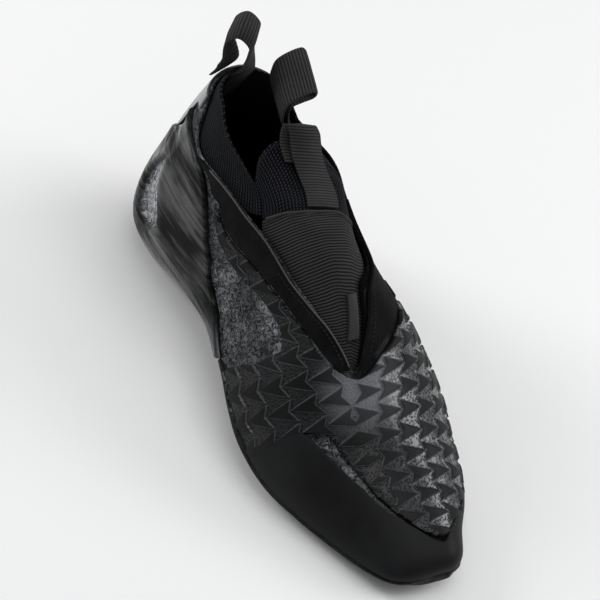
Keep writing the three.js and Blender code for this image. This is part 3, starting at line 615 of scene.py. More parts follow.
class Value:
    """A socket that can be counted with."""

    def __init__(self, look, socket):
        self.look = look
        self.socket = socket

    def count(self, operation, other=None, swap=False):
        values = [other, self] if swap else [self, other]
        inputs = {k: x for k, x in enumerate(values) if x is not None}
        return self.look.node("ShaderNodeMath", {"operation": operation}, inputs)

    def __add__(self, other):
        return self.count("ADD", other)

    def __radd__(self, other):
        return self.count("ADD", other, True)

    def __sub__(self, other):
        return self.count("SUBTRACT", other)

    def __rsub__(self, other):
        return self.count("SUBTRACT", other, True)

    def __mul__(self, other):
        return self.count("MULTIPLY", other)

    def __rmul__(self, other):
        return self.count("MULTIPLY", other, True)

    def sine(self):
        return self.count("SINE")

    def wave(self, count):
        """A wave from 0 to 1 that comes back so many times in each unit."""
        return ((self * (FULL_TURN * count)).sine() + 1) * 0.5

    def most(self, other):
        return self.count("MAXIMUM", other)

    def size(self):
        return self.count("ABSOLUTE")

    def between(self, low, high):
        """0 below low, 1 above high, smooth between."""
        inputs = {"Value": self, "From Min": low, "From Max": high}
        return self.look.node("ShaderNodeMapRange", {"interpolation_type": "SMOOTHSTEP"}, inputs)


class Look:
    """One material, its nodes all made by one method."""

    def __init__(self, name):
        self.material = bpy.data.materials.new(name)
        self.material.use_nodes = True
        self.tree = self.material.node_tree
        self.shader = next(n for n in self.tree.nodes if n.type == "BSDF_PRINCIPLED")

    def put(self, socket, value):
        if isinstance(value, Value):
            self.tree.links.new(value.socket, socket)
        elif socket.type == "RGBA" and len(value) == 3:
            socket.default_value = (*value, 1)
        else:
            socket.default_value = value

    def node(self, kind, settings=None, inputs=None, out=0):
        made = self.tree.nodes.new(kind)
        for key, value in (settings or {}).items():
            setattr(made, key, value)
        for key, value in (inputs or {}).items():
            self.put(made.inputs[key], value)
        return Value(self, made.outputs[out])

    def place(self, scale=(1, 1, 1), turn=(0, 0, 0)):
        """Object coordinates in metres, scaled and turned."""
        here = self.node("ShaderNodeTexCoord", out="Object")
        return self.node("ShaderNodeMapping", {}, {"Vector": here, "Scale": scale, "Rotation": turn})

    def lie(self, scale=(1, 1, 1), turn=0):
        """The piece's own UV, in centimetres across and along."""
        here = self.node("ShaderNodeUVMap", {"uv_map": "lie"})
        return self.node("ShaderNodeMapping", {}, {"Vector": here, "Scale": scale, "Rotation": (0, 0, turn)})

    def noise(self, vector, scale, detail=3, rough=0.55, twist=0):
        inputs = {"Vector": vector, "Scale": scale, "Detail": detail, "Roughness": rough}
        return self.node("ShaderNodeTexNoise", {}, {**inputs, "Distortion": twist})

    def cells(self, vector, scale):
        return self.node("ShaderNodeTexVoronoi", {}, {"Vector": vector, "Scale": scale})

    def mark(self):
        """The share written on each point of the piece."""
        return self.node("ShaderNodeAttribute", {"attribute_name": "mark"}, out="Fac")

    def part(self, vector, axis):
        return self.node("ShaderNodeSeparateXYZ", {}, {"Vector": vector}, axis)

    def blend(self, share, first, second):
        """A colour between two."""
        made = self.tree.nodes.new("ShaderNodeMix")
        made.data_type = "RGBA"
        self.put(made.inputs[0], share)
        self.put(made.inputs[6], first)
        self.put(made.inputs[7], second)
        return Value(self, made.outputs[2])

    def finish(self, colour, roughness, bumps=(), coat=0.0, coat_rough=0.2, specular=0.5, sheen=0.0):
        """Fills the shader; each bump is a height, a strength and a distance in metres."""
        sockets = {
            "Base Color": colour, "Roughness": roughness, "Coat Weight": coat, "Sheen Weight": sheen,
            "Coat Roughness": coat_rough, "Specular IOR Level": specular, "Sheen Roughness": 0.6,
        }
        below = {}
        for height, strength, distance in bumps:
            inputs = {"Height": height, "Strength": strength, "Distance": distance, **below}
            below = {"Normal": self.node("ShaderNodeBump", {}, inputs)}
        for key, value in {**sockets, **below}.items():
            self.put(self.shader.inputs[key], value)
        return self.material


COOL = (0.96, 1.0, 1.07)


def grey(value, tint=(1.0, 1.0, 1.0)):
    return tuple(value * t for t in tint)


def leather_look():
    look = Look("leather")
    at = look.place()
    crinkle = (look.noise(at, 330, 3, 0.6, 1.2) - 0.5).size().between(0.0, 0.07)
    folds = look.noise(at, 260, 4, 0.6, 2.2)
    grain = look.noise(at, 1500, 2)
    worn = look.noise(at, 60, 3).between(0.4, 0.7)
    colour = look.blend(worn, grey(0.003, COOL), grey(0.011, COOL))
    hem = look.mark()
    colour = look.blend(hem, colour, grey(0.003))
    rough = 0.3 + 0.12 * folds + 0.6 * hem
    # Painted highlight: on the lit outer side, patches of crinkles are coloured light grey where light would
    # glint on them
    lit_outer_side = look.part(at, 1).between(-0.004, -0.018)
    highlight_patches = (folds * 0.7 + worn * 0.3).between(0.3, 0.7)
    painted_crinkle_highlight = crinkle * (0.25 + 0.75 * highlight_patches) * lit_outer_side
    colour = look.blend(painted_crinkle_highlight, colour, grey(0.24, COOL))
    shiny = (0.06 + 0.94 * painted_crinkle_highlight) * (1 - hem)
    bumps = [(folds, 1.0, 0.0026), (crinkle, 0.7, 0.001), (grain, 0.2, 0.0002)]
    return look.finish(colour, rough, bumps, coat=shiny, coat_rough=0.12, specular=0.06)


def smooth_leather_look():
    look = Look("smooth_leather")
    at = look.place()
    worn = look.noise(at, 90, 3).between(0.35, 0.7)
    colour = look.blend(worn, grey(0.02, COOL), grey(0.06, COOL))
    grain = look.noise(at, 1300, 3)
    return look.finish(colour, 0.3 + 0.12 * worn, [(grain, 0.2, 0.0002)], coat=0.6)


def suede_look():
    look = Look("suede")
    at = look.place()
    nap = look.noise(at, 900, 4, 0.7)
    brushed = look.noise(at, 110, 3).between(0.4, 0.68)
    colour = look.blend(brushed, grey(0.0015), grey(0.005))
    return look.finish(colour, 0.95, [(nap, 0.6, 0.0005)], specular=0.08, sheen=0.03)


# How the heel's streaks slope: buffed marks in its bump and gloss, and painted highlights in its colour
SWEEP_TURN = (0.0, 0.75, 0.0)


def heel_look():
    look = Look("heel_rubber")
    at = look.place()
    streak = look.noise(look.place((30, 30, 420), SWEEP_TURN), 1, 4, 0.65, 0.4)
    broad = look.noise(look.place((22, 22, 90), SWEEP_TURN), 1, 3)
    cloud = look.noise(at, 38, 4, 0.6)
    # Painted highlight: along the streaks the colour turns lighter, standing in for light reflected off the
    # buffed rubber; the same mask also makes it glossier
    buffing_and_sheen = (streak * 0.5 + broad * 0.5 + cloud * 0.3).between(0.54, 0.82)
    colour = look.blend(buffing_and_sheen, grey(0.004, COOL), grey(0.03, COOL))
    opened = look.mark()
    folds = look.noise(at, 300, 3, 0.6, 2.0)
    crinkle = folds * opened
    # Painted highlight: the leather seen through the slot is painted lighter, with light grey painted
    # highlights on its crinkles
    window = look.blend(folds.between(0.42, 0.6), grey(0.05, COOL), grey(0.42, COOL))
    colour = look.blend(opened, colour, window)
    grain = look.noise(at, 1400, 2)
    rough = 0.5 - 0.16 * buffing_and_sheen - 0.2 * opened
    bumps = [(streak, 0.25, 0.0006), (grain, 0.15, 0.0002), (crinkle, 0.8, 0.0016)]
    coat = 0.04 + 0.95 * buffing_and_sheen.most(opened)
    return look.finish(colour, rough, bumps, coat=coat, specular=0.05)


def toe_look():
    look = Look("toe_rubber")
    at = look.place()
    cloud = look.noise(at, 34, 3).between(0.35, 0.7)
    grain = look.noise(at, 1600, 2)
    dust = look.noise(at, 420, 5, 0.7).between(0.62, 0.8)
    colour = look.blend(cloud, grey(0.007, COOL), grey(0.012, COOL))
    colour = look.blend(dust * 0.3, colour, grey(0.03))
    return look.finish(colour, 0.5 + 0.12 * cloud, [(grain, 0.25, 0.0002)], coat=0.02, specular=0.1)


# Where a painted highlight lies on the skin in front of the throat's tip
TIP_HIGHLIGHT_AT = tuple((skin(10.0, 84, 1.3) - ORIGIN) / 1000)


def relief_look():
    look = Look("relief_rubber")
    at = look.place()
    lines = look.noise(look.lie((7.0, 0.5, 1), 0.25), 7, 3, 0.6)
    cloud = look.noise(at, 46, 3).between(0.4, 0.7)
    grains = look.cells(at, 900).between(0.15, 0.7)
    raised = look.mark()
    base = 1 - raised
    rim = raised * base * 4
    colour = look.blend(cloud, grey(0.0055, COOL), grey(0.01, COOL))
    # Painted light: the grains between the darts are coloured lighter on the inner side, which faces the
    # light
    lit_inner_side = look.part(at, 1).between(-0.008, 0.016)
    colour = look.blend(base * grains * (0.12 + 0.88 * lit_inner_side), colour, grey(0.075, COOL))
    # Painted highlight: the darts' edges are coloured light grey, less so on the inner side
    colour = look.blend(rim * (0.7 - 0.5 * lit_inner_side), colour, grey(0.09, COOL))
    from_tip = look.node("ShaderNodeVectorMath", {"operation": "DISTANCE"}, {0: at, 1: TIP_HIGHLIGHT_AT}, "Value")
    # Painted highlight: a striated light grey pool in front of the throat's tip, weaker on the darts
    painted_tip_highlight = (1 - from_tip.between(0.006, 0.026)) * (1 - raised * 0.8)
    colour = look.blend(painted_tip_highlight * (0.3 + 0.7 * lines), colour, grey(0.22, COOL))
    rough = 0.44 + 0.1 * lines - 0.16 * base
    bumps = [(lines, 0.3, 0.0004), (grains * base, 0.45, 0.0005)]
    coat = 0.05 + base * grains * (0.2 + 0.75 * lit_inner_side)
    return look.finish(colour, rough, bumps, coat=coat, specular=0.08)


def sole_look():
    look = Look("sole_rubber")
    at = look.place()
    lines = look.noise(look.lie((9.0, 0.5, 1)), 5, 3, 0.6)
    cloud = look.noise(at, 55, 3)
    buffing_and_sheen = (lines * 0.6 + cloud * 0.4).between(0.38, 0.66)
    colour = look.blend(buffing_and_sheen, grey(0.004, COOL), grey(0.03, COOL))
    return look.finish(colour, 0.62 - 0.1 * buffing_and_sheen, [(lines, 0.35, 0.0004)], specular=0.1)


def elastic_look():
    look = Look("elastic")
    lie = look.lie()
    across = look.part(lie, 0)
    along = look.part(lie, 1)
    sway = look.noise(look.lie((0.25, 0.25, 1)), 2.0, 2)
    rib = (along * 7.5 + across * 0.9 + sway * (5 / FULL_TURN)).wave(1)
    purl = across.wave(15)
    weave = rib * (0.65 + 0.35 * purl)
    colour = look.blend(weave, grey(0.004), grey(0.06))
    return look.finish(colour, 0.9, [(weave, 0.7, 0.0004)], specular=0.06, sheen=0.03)


def knit_look():
    look = Look("knit")
    lie = look.lie()
    across = look.part(lie, 0)
    along = look.part(lie, 1)
    rib = across.wave(6)
    stitch = (along * 7 + across * 3).wave(1)
    fuzz = look.noise(look.place(), 1500, 3)
    loops = (rib * stitch * 0.7 + fuzz * 0.6).between(0.35, 0.85)
    colour = look.blend(loops, (0.0008, 0.0009, 0.0013), (0.026, 0.028, 0.036))
    return look.finish(colour, 0.95, [(loops, 0.7, 0.0004)], specular=0.04, sheen=0.03)


def webbing_look():
    look = Look("webbing")
    at = look.place()
    twill = look.cells(at, 1500).between(0.1, 0.7)
    cloud = look.noise(at, 200, 3)
    gone = look.part(look.lie(), 0)
    rib = (gone * (10 * np.pi / RIB_PITCH)).sine().size()
    colour = look.blend(rib * (0.6 + 0.2 * twill + 0.2 * cloud), grey(0.004), grey(0.05))
    return look.finish(colour, 0.85, [(twill, 0.35, 0.0002)], specular=0.12, sheen=0.03)


def plain_look(name, value, roughness):
    look = Look(name)
    grain = look.noise(look.place(), 900, 3)
    return look.finish(grey(value), roughness, [(grain, 0.15, 0.0002)], specular=0.25)


LOOKS = {
    "leather": leather_look(),
    "smooth_leather": smooth_leather_look(),
    "suede": suede_look(),
    "heel_rubber": heel_look(),
    "toe_rubber": toe_look(),
    "relief_rubber": relief_look(),
    "sole_rubber": sole_look(),
    "elastic": elastic_look(),
    "knit": knit_look(),
    "webbing": webbing_look(),
    "tag": plain_look("tag", 0.018, 0.45),
    "board": plain_look("board", 0.008, 0.95),
    "thread": plain_look("thread", 0.025, 0.8),
    "piping": plain_look("piping", 0.06, 0.5),
}


def wall_faces(row, angle):
    """Faces of one sheet of the wall, and the sides that close it round its openings."""
    size = row.size
    index = np.arange(size).reshape(row.shape)
    wrap = np.vstack([index, index[:1]])
    quads = np.stack([wrap[:-1, :-1], wrap[1:, :-1], wrap[1:, 1:], wrap[:-1, 1:]], -1)
    middle_row = (row[:, :-1] + row[:, 1:]) / 2
    middle_angle = angle[:, :-1] + UPPER_STEP / 2
    hole = (middle_row > OPENING_ROWS[0]) & (middle_row < OPENING_ROWS[1])
    hole &= (middle_angle < OPENING_ANGLES[0]) | (middle_angle > 360 + OPENING_ANGLES[1])
    i, j = np.nonzero(hole ^ np.roll(hole, -1, 0))
    edges = [(wrap[i + 1, j], wrap[i + 1, j + 1])]
    i, j = np.nonzero(hole[:, :-1] ^ hole[:, 1:])
    edges.append((wrap[i, j + 1], wrap[i + 1, j + 1]))
    rim = index[:, 0]
    edges.append((rim, np.roll(rim, -1)))
    sides = [np.stack([a, b, size + b, size + a], -1) for a, b in edges]
    return quads[~hole], np.concatenate(sides)


def upper():
    """The hollow leather wall, open at collar and throat and under the sole."""
    angle, share = np.meshgrid(np.arange(-90, 270, UPPER_STEP), UPPER_SHARES, indexing="ij")
    row = mix(follow(LEATHER_TOP, angle), TOE_POLE, share)
    base = last_point(row, angle)
    along = run(base, 1)
    rounded = WALL / 2 * (1 - np.sqrt(1 - (1 - np.clip(along / UPPER_EDGE, 0, 1)) ** 2))
    crease = crease_offset(base)
    normal = normal_at(row, angle)
    sheets = [base + normal * (crease + off)[..., None] for off in (-rounded, rounded - WALL)]
    outer, side = wall_faces(row, angle)
    size = row.size
    last = np.arange(size).reshape(row.shape)[:, -1]
    after = np.roll(last, -1)
    fans = [np.stack([last, after, np.full_like(last, 2 * size)], -1),
            np.stack([after + size, last + size, np.full_like(last, 2 * size + 1)], -1)]
    poles = [skin(TOE_POLE, 0, 0), skin(TOE_POLE, 0, -WALL)]
    points = np.concatenate([*(sheet.reshape(-1, 3) for sheet in sheets), poles])
    uv = np.stack([np.cumsum(np.full_like(row, 0.1), 0), along / 10], -1).reshape(-1, 2)
    uv = np.concatenate([uv, uv, uv[-1:], uv[-1:]])
    piece = new_mesh("upper_leather", points, [outer, outer[:, ::-1] + size, side, *fans], uv)
    settle_normals(piece)
    hem = 1 - np.clip((along - HEM) / HEM_FADE, 0, 1)
    hem = np.where((angle > HEM_ANGLES[0]) & (angle < HEM_ANGLES[1]), hem, 0)
    write_marks(piece, hem, np.ones(size + 2))
    return dress(piece, "leather", "upper")


def settle_normals(piece):
    """Makes the faces of a closed piece agree and point out."""
    work = bmesh.new()
    work.from_mesh(piece.data)
    bmesh.ops.recalc_face_normals(work, faces=work.faces)
    work.to_mesh(piece.data)
    work.free()


def over(thickness):
    return const(GAP + thickness)


def outsole():
    def outer(row, angle, u, v):
        thick = follow(UNDER_SOLE, np.minimum(u, 1 - u)) * follow(SOLE_PROFILE, row)
        return GAP + np.maximum(thick, SOLE_EDGE)

    place = lambda u, v: (mix(*SOLE_ROWS, v), mix(*SOLE_ANGLES, u))
    return lay("sole_rubber", "outsole", "sole_rubber", place, GAP, outer, (150, 190), 0.5, floor_cut=True)


def insole():
    place = lambda u, v: (mix(*INSOLE_ROWS, v), mix(*INSOLE_ANGLES, u))
    top = -WALL - INSOLE_ROOM
    return lay("lasting_board", "insole", "board", place, top - INSOLE, const(top), (40, 90), 0.4)


def slotted(row, angle, low, high, near):
    """Opens the heel's lens-shaped slot, with a rounded lip, onto the leather."""
    front, rear = follow(SLOT_FRONT, row), follow(SLOT_REAR, row)
    mid, half = (front + rear) / 2, (front - rear) / 2
    ends = np.minimum(row - SLOT_ROWS[0], SLOT_ROWS[1] - row) * SLOT_ROW
    ends = np.clip(ends, -SLOT_DEEPEST, SLOT_DEEPEST)
    inside = np.minimum((half - np.abs(angle - mid)) * SLOT_DEGREE, ends)
    drop = np.clip((inside + SLOT_LIP_START) / SLOT_LIP, 0, 1)
    drop = 1 - np.sqrt(np.clip(1 - drop ** 2, 0, 1))
    swell = SLOT_SWELL * np.exp(-((inside + SLOT_SWELL_AT) / SLOT_SWELL_WIDTH) ** 2)
    mark = np.clip((inside - 0.1) / 0.5, 0, 1)
    return mix(low, SLOT_FLOOR - SLOT_FLOOR_DEPTH, drop), mix(high + swell, SLOT_FLOOR, drop), mark


def heel_cup():
    def outer(row, angle, u, v):
        under = np.clip((-np.sin(np.radians(angle)) - 0.5) / 0.35, 0, 1)
        return GAP + HEEL_RUBBER + (SOLE - HEEL_RUBBER) * under * follow(SEAT_PROFILE, row)

    right = edge(CUP_FRONT)
    place = panel(edge(CUP_TOP), const(CUP_END), right, lambda row: -180 - right(row))
    return lay("heel_rubber", "heel_cup", "heel_rubber", place, GAP, outer, (210, 170), 1.0, slotted, True)


def heel_tab():
    def place(u, v):
        angle = mix(*TAB_ANGLES, u)
        return mix(TAB_TOP, follow(TAB_END, angle), v), angle

    piece = lay("heel_tab_leather", "heel_tab", "leather", place, GAP, over(HEEL_TAB), (70, 40), 0.5)
    piece.data.materials[0] = LOOKS["smooth_leather"]
    return piece


def gore_place(u, v):
    seam_angle = mix(*TONGUE_ANGLES, u)
    row = mix(follow(GORE_SEAM, seam_angle) + SEAM_SHARE / 2, GORE_END, v)
    angle = mix(follow(GORE_OUTER, row), follow(GORE_INNER, row), u)
    return row, mix(seam_angle, angle, np.minimum(4 * v, 1))


def elastic_gore():
    count = (110, 130)
    return lay("gore_elastic", "elastic_gore", "elastic", gore_place, SOFT - GORE, const(SOFT), count, 0.5)


def tongue_place(u, v):
    angle = mix(*TONGUE_ANGLES, u)
    return mix(follow(TONGUE_TOP, angle), follow(GORE_SEAM, angle) - SEAM_SHARE / 2, v), angle


def knit_tongue():
    return lay("tongue_knit", "knit_tongue", "knit", tongue_place, SOFT - KNIT, const(SOFT), (90, 50), 0.5)


def collar_place(u, v):
    angle = mix(*COLLAR_ANGLES, u)
    return mix(follow(COLLAR_RIM, angle), follow(COLLAR_END, angle), v), angle


def knit_collar():
    return lay("collar_knit", "knit_collar", "knit", collar_place, SOFT - KNIT, const(SOFT), (220, 44), 0.55)


def band(name, node, low, top):
    place = panel(const(BAND_ROWS[0]), const(BAND_ROWS[1]), edge(low), edge(top))
    return lay(name, node, "suede", place, GAP, over(BAND), (30, 200), 0.5)


def toe_rubber():
    place = between(TOE_UPPER, TOE_LOWER)
    return lay("toe_rand", "toe_rubber", "toe_rubber", place, GAP, over(TOE_RUBBER), (200, 90), 0.9)


def tag_bar():
    def place(u, v):
        row = mix(*TAG_ROWS, v)
        return row, follow(TAG_ANGLES, row) + mix(-TAG_SPREAD, TAG_SPREAD, u)

    seat = SOFT + GAP
    return lay("bare_tag", "tag_bar", "tag", place, seat, const(seat + TAG), (16, 40), 0.35)


def spread_out(row, angle):
    """Millimetres on the skin: forward along the ridge and round from it to the inner side."""
    rows, turns = SPREAD_ROWS, SPREAD_TURNS
    forward = run(last_point(rows, np.full_like(rows, RIDGE_ANGLE))[None], 1)[0]
    round_it = run(last_point(*np.meshgrid(rows, turns, indexing="ij")), 1)
    ridge = np.array([np.interp(RIDGE_ANGLE, turns, line) for line in round_it])
    round_it -= ridge[:, None]
    i = np.clip((row - rows[0]) / (rows[1] - rows[0]), 0, len(rows) - 1.001)
    j = np.clip((angle - turns[0]) / (turns[1] - turns[0]), 0, len(turns) - 1.001)
    i0, j0 = i.astype(int), j.astype(int)
    fi, fj = i - i0, j - j0
    near = mix(round_it[i0, j0], round_it[i0, j0 + 1], fj)
    far = mix(round_it[i0 + 1, j0], round_it[i0 + 1, j0 + 1], fj)
    start = np.interp(RIDGE_MEETS, rows, forward)
    return np.interp(row, rows, forward) - start, mix(near, far, fi)


def dart_height(row, angle):
    """Rows of triangular darts on both sides of the ridge, and how far each place is on one."""
    x, y = spread_out(row, angle)
    y = -np.abs(y)
    det = DART_STEP[0] * DART_ROW[1] - DART_STEP[1] * DART_ROW[0]
    a = (x * DART_ROW[1] - y * DART_ROW[0]) / det
    b = (DART_STEP[0] * y - DART_STEP[1] * x) / det
    reach, depth = DART_DROP
    turn = a % 1
    zigzag = depth * np.where(turn < reach, turn / reach, (1 - turn) / (1 - reach))
    number = np.floor(b - zigzag)
    back = b - number
    upper = (a - back * reach / (1 + depth)) % 1
    lower = 1 - back / (1 + depth) - upper
    right = back - zigzag
    step, chain = np.hypot(*DART_STEP), np.hypot(*DART_ROW)
    near = np.minimum(np.minimum(upper, lower) * step * DART_SLANT, right * chain * DART_SQUARE)
    on = np.clip(near / DART_EDGE, 0, 1)
    on = on * on * (3 - 2 * on)
    on = np.where((number < 0) & (x < 0), 0, on)
    face = 1 - DART_FACE * np.clip(back / (1 + depth), 0, 1)
    return DART_HEIGHT * on * face, on


def relief_raised(row, angle, low, high, near):
    height, on = dart_height(row, angle)
    inside = np.clip((near - DART_MARGIN) / DART_FADE, 0, 1)
    return low, high + (height - DART_BED * (1 - on)) * inside, on


def relief():
    """The dart layer, and the wing that it sends back along each side of the throat."""
    angles = np.linspace(*RELIEF_ANGLES, len(RELIEF_LOWER))
    upper_edge = [[float(follow(RELIEF_START, a)), a] for a in angles]
    front = between(upper_edge, RELIEF_LOWER)
    outer = panel(*map(const, OUTER_WING_ROWS), edge(OUTER_WING_LOW), edge(OUTER_WING_TOP))
    inner = panel(*map(const, INNER_WING_ROWS), edge(INNER_WING_LOW), edge(INNER_WING_TOP))
    for name, node, place, thick, count in (
        ("relief_front", "relief_layer", front, RELIEF, (401, 217)),
        ("relief_outer_wing", None, outer, WING, (50, 170)),
        ("relief_inner_wing", None, inner, WING, (40, 150)),
    ):
        lay(name, node, "relief_rubber", place, GAP, over(thick), count, 0.6, relief_raised)


def webbing(name, node, centres, vectors):
    """A ribbed strip through stations of a centre and a vector across it."""
    t = np.linspace(0, 1, STRAP_LINES)
    centre, across = smooth_line(centres, t), smooth_line(vectors, t)
    normal = unit(np.cross(unit(np.gradient(centre, axis=0)), across))
    gone = run(centre[None], 1)[0]
    rib = np.abs(np.sin(np.pi * gone / RIB_PITCH)) ** RIB_POWER * RIB_HEIGHT
    thin = 1 - (np.abs(STRAP_SHARES) * 2) ** STRAP_EDGE_POWER
    thin = np.sqrt(np.clip(thin, STRAP_EDGE_LEAST, 1))[None]
    spread = centre[:, None] + across[:, None] * STRAP_SHARES[None, :, None]
    sheets = []
    for side in (-1, 1):
        lift = side * (WEBBING / 2 - RIB_HEIGHT / 2) * thin + side * rib[:, None] * thin
        sheets.append(spread + normal[:, None] * lift[..., None])
    uv = np.stack(np.broadcast_arrays(gone[:, None] / 10, STRAP_SHARES[None] * 1.5), -1)
    return dress(slab(name, *sheets, uv), "webbing", node)


def across_at(row, angle, width):
    return unit(skin(row, angle + 6, 0, False) - skin(row, angle - 6, 0, False)) * width


def leg(place, offset, width):
    """Foot and rim of a leg that lies on the collar."""
    angle, rim, foot = place
    return [(skin(row, angle, offset, False), across_at(row, angle, width)) for row in (foot, rim)]


def rear_loop():
    outside = 3 * GAP + HEEL_TAB + WEBBING / 2
    inside = SOFT - KNIT - 3 * GAP - WEBBING / 2
    outer = leg(REAR_LOOP_OUTER, outside, REAR_LOOP_WIDTH)
    inner = leg(REAR_LOOP_INNER, inside, REAR_LOOP_WIDTH)[::-1]
    across = unit(np.array(REAR_LOOP_TURN)) * REAR_LOOP_WIDTH
    span = unit(np.array(REAR_LOOP_ACROSS)) * REAR_LOOP_SPAN
    rise = np.array((0, 0, REAR_LOOP_RISE))
    arch = [(outer[1][0] + span * side + rise * up, across) for side, up in REAR_LOOP_ARCH]
    centres, vectors = zip(*outer, *arch, *inner)
    return webbing("rear_loop", "rear_pull_loop", centres, vectors)


def medial_loop():
    inside = SOFT - KNIT - MEDIAL_LOOP_ROOM - WEBBING / 2
    foot, rim = (skin(row, MEDIAL_LOOP_ANGLE, inside, False) for row in MEDIAL_LOOP_ENDS)
    across = unit(np.array(MEDIAL_LOOP_TURN)) * MEDIAL_LOOP_WIDTH
    out = unit(np.array(MEDIAL_LOOP_OUT))
    up = unit(np.array(MEDIAL_LOOP_UP))
    path = []
    for reach, lift, depth in MEDIAL_LOOP_PATH:
        rise = lift * MEDIAL_LOOP_LIFT + depth * MEDIAL_LOOP_DEPTH
        path.append(rim + out * reach * MEDIAL_LOOP_REACH + up * rise)
    back = out * (WEBBING + MEDIAL_LOOP_SLACK)
    centres = [foot, rim, *path, rim - back, foot - back]
    return webbing("medial_loop", "medial_pull_loop", centres, [across] * len(centres))


def tongue_tab():
    seat = SOFT + GAP + WEBBING / 2
    across = unit(np.array(TAB_TURN)) * TAB_WIDTH
    centres = []
    for row, angle, share, lift in TAB_PATH:
        centres.append(skin(row, angle, seat + share * TAB_STAND_OFF, False) + (0, 0, lift))
    return webbing("tongue_tab", "tongue_pull_tab", centres, [across] * len(centres))


def stitch_tree():
    """Geometry Nodes: a short thread on every point, turned as the point says."""
    tree = bpy.data.node_groups.new("stitches", "GeometryNodeTree")
    face = tree.interface
    face.new_socket("Geometry", in_out="INPUT", socket_type="NodeSocketGeometry")
    length = face.new_socket("Length", in_out="INPUT", socket_type="NodeSocketFloat")
    thick = face.new_socket("Thickness", in_out="INPUT", socket_type="NodeSocketFloat")
    face.new_socket("Geometry", in_out="OUTPUT", socket_type="NodeSocketGeometry")
    add = tree.nodes.new
    start, end = add("NodeGroupInput"), add("NodeGroupOutput")
    ball = add("GeometryNodeMeshUVSphere")
    for key, value in (("Segments", 10), ("Rings", 6), ("Radius", 0.5)):
        ball.inputs[key].default_value = value
    size = add("ShaderNodeCombineXYZ")
    turn = add("GeometryNodeInputNamedAttribute")
    turn.data_type = "FLOAT_VECTOR"
    turn.inputs["Name"].default_value = "turn"
    spread = add("GeometryNodeInstanceOnPoints")
    real = add("GeometryNodeRealizeInstances")
    paint = add("GeometryNodeSetMaterial")
    paint.inputs["Material"].default_value = LOOKS["thread"]
    for giver, output, taker, socket in (
        (start, "Length", size, 0), (start, "Thickness", size, 1), (start, "Thickness", size, 2),
        (start, "Geometry", spread, "Points"), (ball, "Mesh", spread, "Instance"),
        (turn, 0, spread, "Rotation"), (size, 0, spread, "Scale"),
        (spread, "Instances", real, "Geometry"), (real, "Geometry", paint, "Geometry"),
        (paint, "Geometry", end, "Geometry"),
    ):
        tree.links.new(giver.outputs[output], taker.inputs[socket])
    return tree, length.identifier, thick.identifier


STITCHES, LENGTH_INPUT, THICK_INPUT = stitch_tree()


def thread_points(name, row, angle, offset, pitch, lean):
    """Loose points along places of the last, each with the turn of its thread."""
    line = skin(row, angle, offset)
    gone = run(line[None], 1)[0]
    at = (np.arange(int(gone[-1] / pitch)) + 0.5) * pitch
    spot = np.stack([np.interp(at, gone, line[:, k]) for k in range(3)], -1)
    normal = normal_at(np.interp(at, gone, row), np.interp(at, gone, angle))
    tangent = unit(np.gradient(spot, axis=0))
    sway = lean * np.where(np.arange(len(at)) % 2, 1, -1)[:, None]
    ahead = unit(tangent + np.cross(normal, tangent) * sway)
    turns = []
    for x, z in zip(map(Vector, ahead), map(Vector, normal)):
        y = z.cross(x).normalized()
        turns.append(Matrix((x, y, x.cross(y))).transposed().to_euler())
    mesh = bpy.data.meshes.new(name)
    mesh.from_pydata(((spot - ORIGIN) / 1000).tolist(), [], [])
    turn = mesh.attributes.new("turn", "FLOAT_VECTOR", "POINT").data
    turn.foreach_set("vector", np.array(turns).ravel())
    return mesh


def stitches(name, row, angle, offset, pitch, length, thick, lean=0.0):
    """A row of stitches along places of the last; lean turns each one to and fro."""
    mesh = thread_points(name, row, angle, offset, pitch, lean)
    points = bpy.data.objects.new(name + "_points", mesh)
    bpy.context.scene.collection.objects.link(points)
    grow = points.modifiers.new("stitches", "NODES")
    grow.node_group = STITCHES
    grow[LENGTH_INPUT] = length / 1000
    grow[THICK_INPUT] = thick / 1000
    bpy.context.view_layer.update()
    shape = points.evaluated_get(bpy.context.evaluated_depsgraph_get())
    made = bpy.data.meshes.new_from_object(shape)
    made.polygons.foreach_set("use_smooth", np.ones(len(made.polygons), bool))
    points.modifiers.clear()
    bpy.data.objects.remove(points)
    piece = bpy.data.objects.new(name, made)
    bpy.context.scene.collection.objects.link(piece)
    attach(piece, "root")
    return piece


def tube(name, slot, look, row, angle, offset, radius):
    """A thin round cord laid along places of the last."""
    line = skin(row, angle, offset)
    tangent = unit(np.gradient(line, axis=0))
    normal = normal_at(row, angle)
    side = unit(np.cross(tangent, normal))
    t = np.linspace(0, 2 * np.pi, TUBE_SIDES + 1)[:-1]
    ring = np.cos(t)[None, :, None] * normal[:, None] + np.sin(t)[None, :, None] * side[:, None]
    taper = np.ones(len(line))
    taper[[0, -1]] = TUBE_END
    points = (line[:, None] + ring * radius * taper[:, None, None]).reshape(-1, 3)
    n = len(t)
    index = np.arange(len(points)).reshape(-1, n)
    after = np.roll(index, -1, 1)
    quads = np.stack([index[:-1], index[1:], after[1:], after[:-1]], -1).reshape(-1, 4)
    caps = [index[:1, ::-1], index[-1:]]
    piece = new_mesh(name, points, [quads, *caps], np.zeros((len(points), 2)))
    settle_normals(piece)
    return dress(piece, slot, look=look)


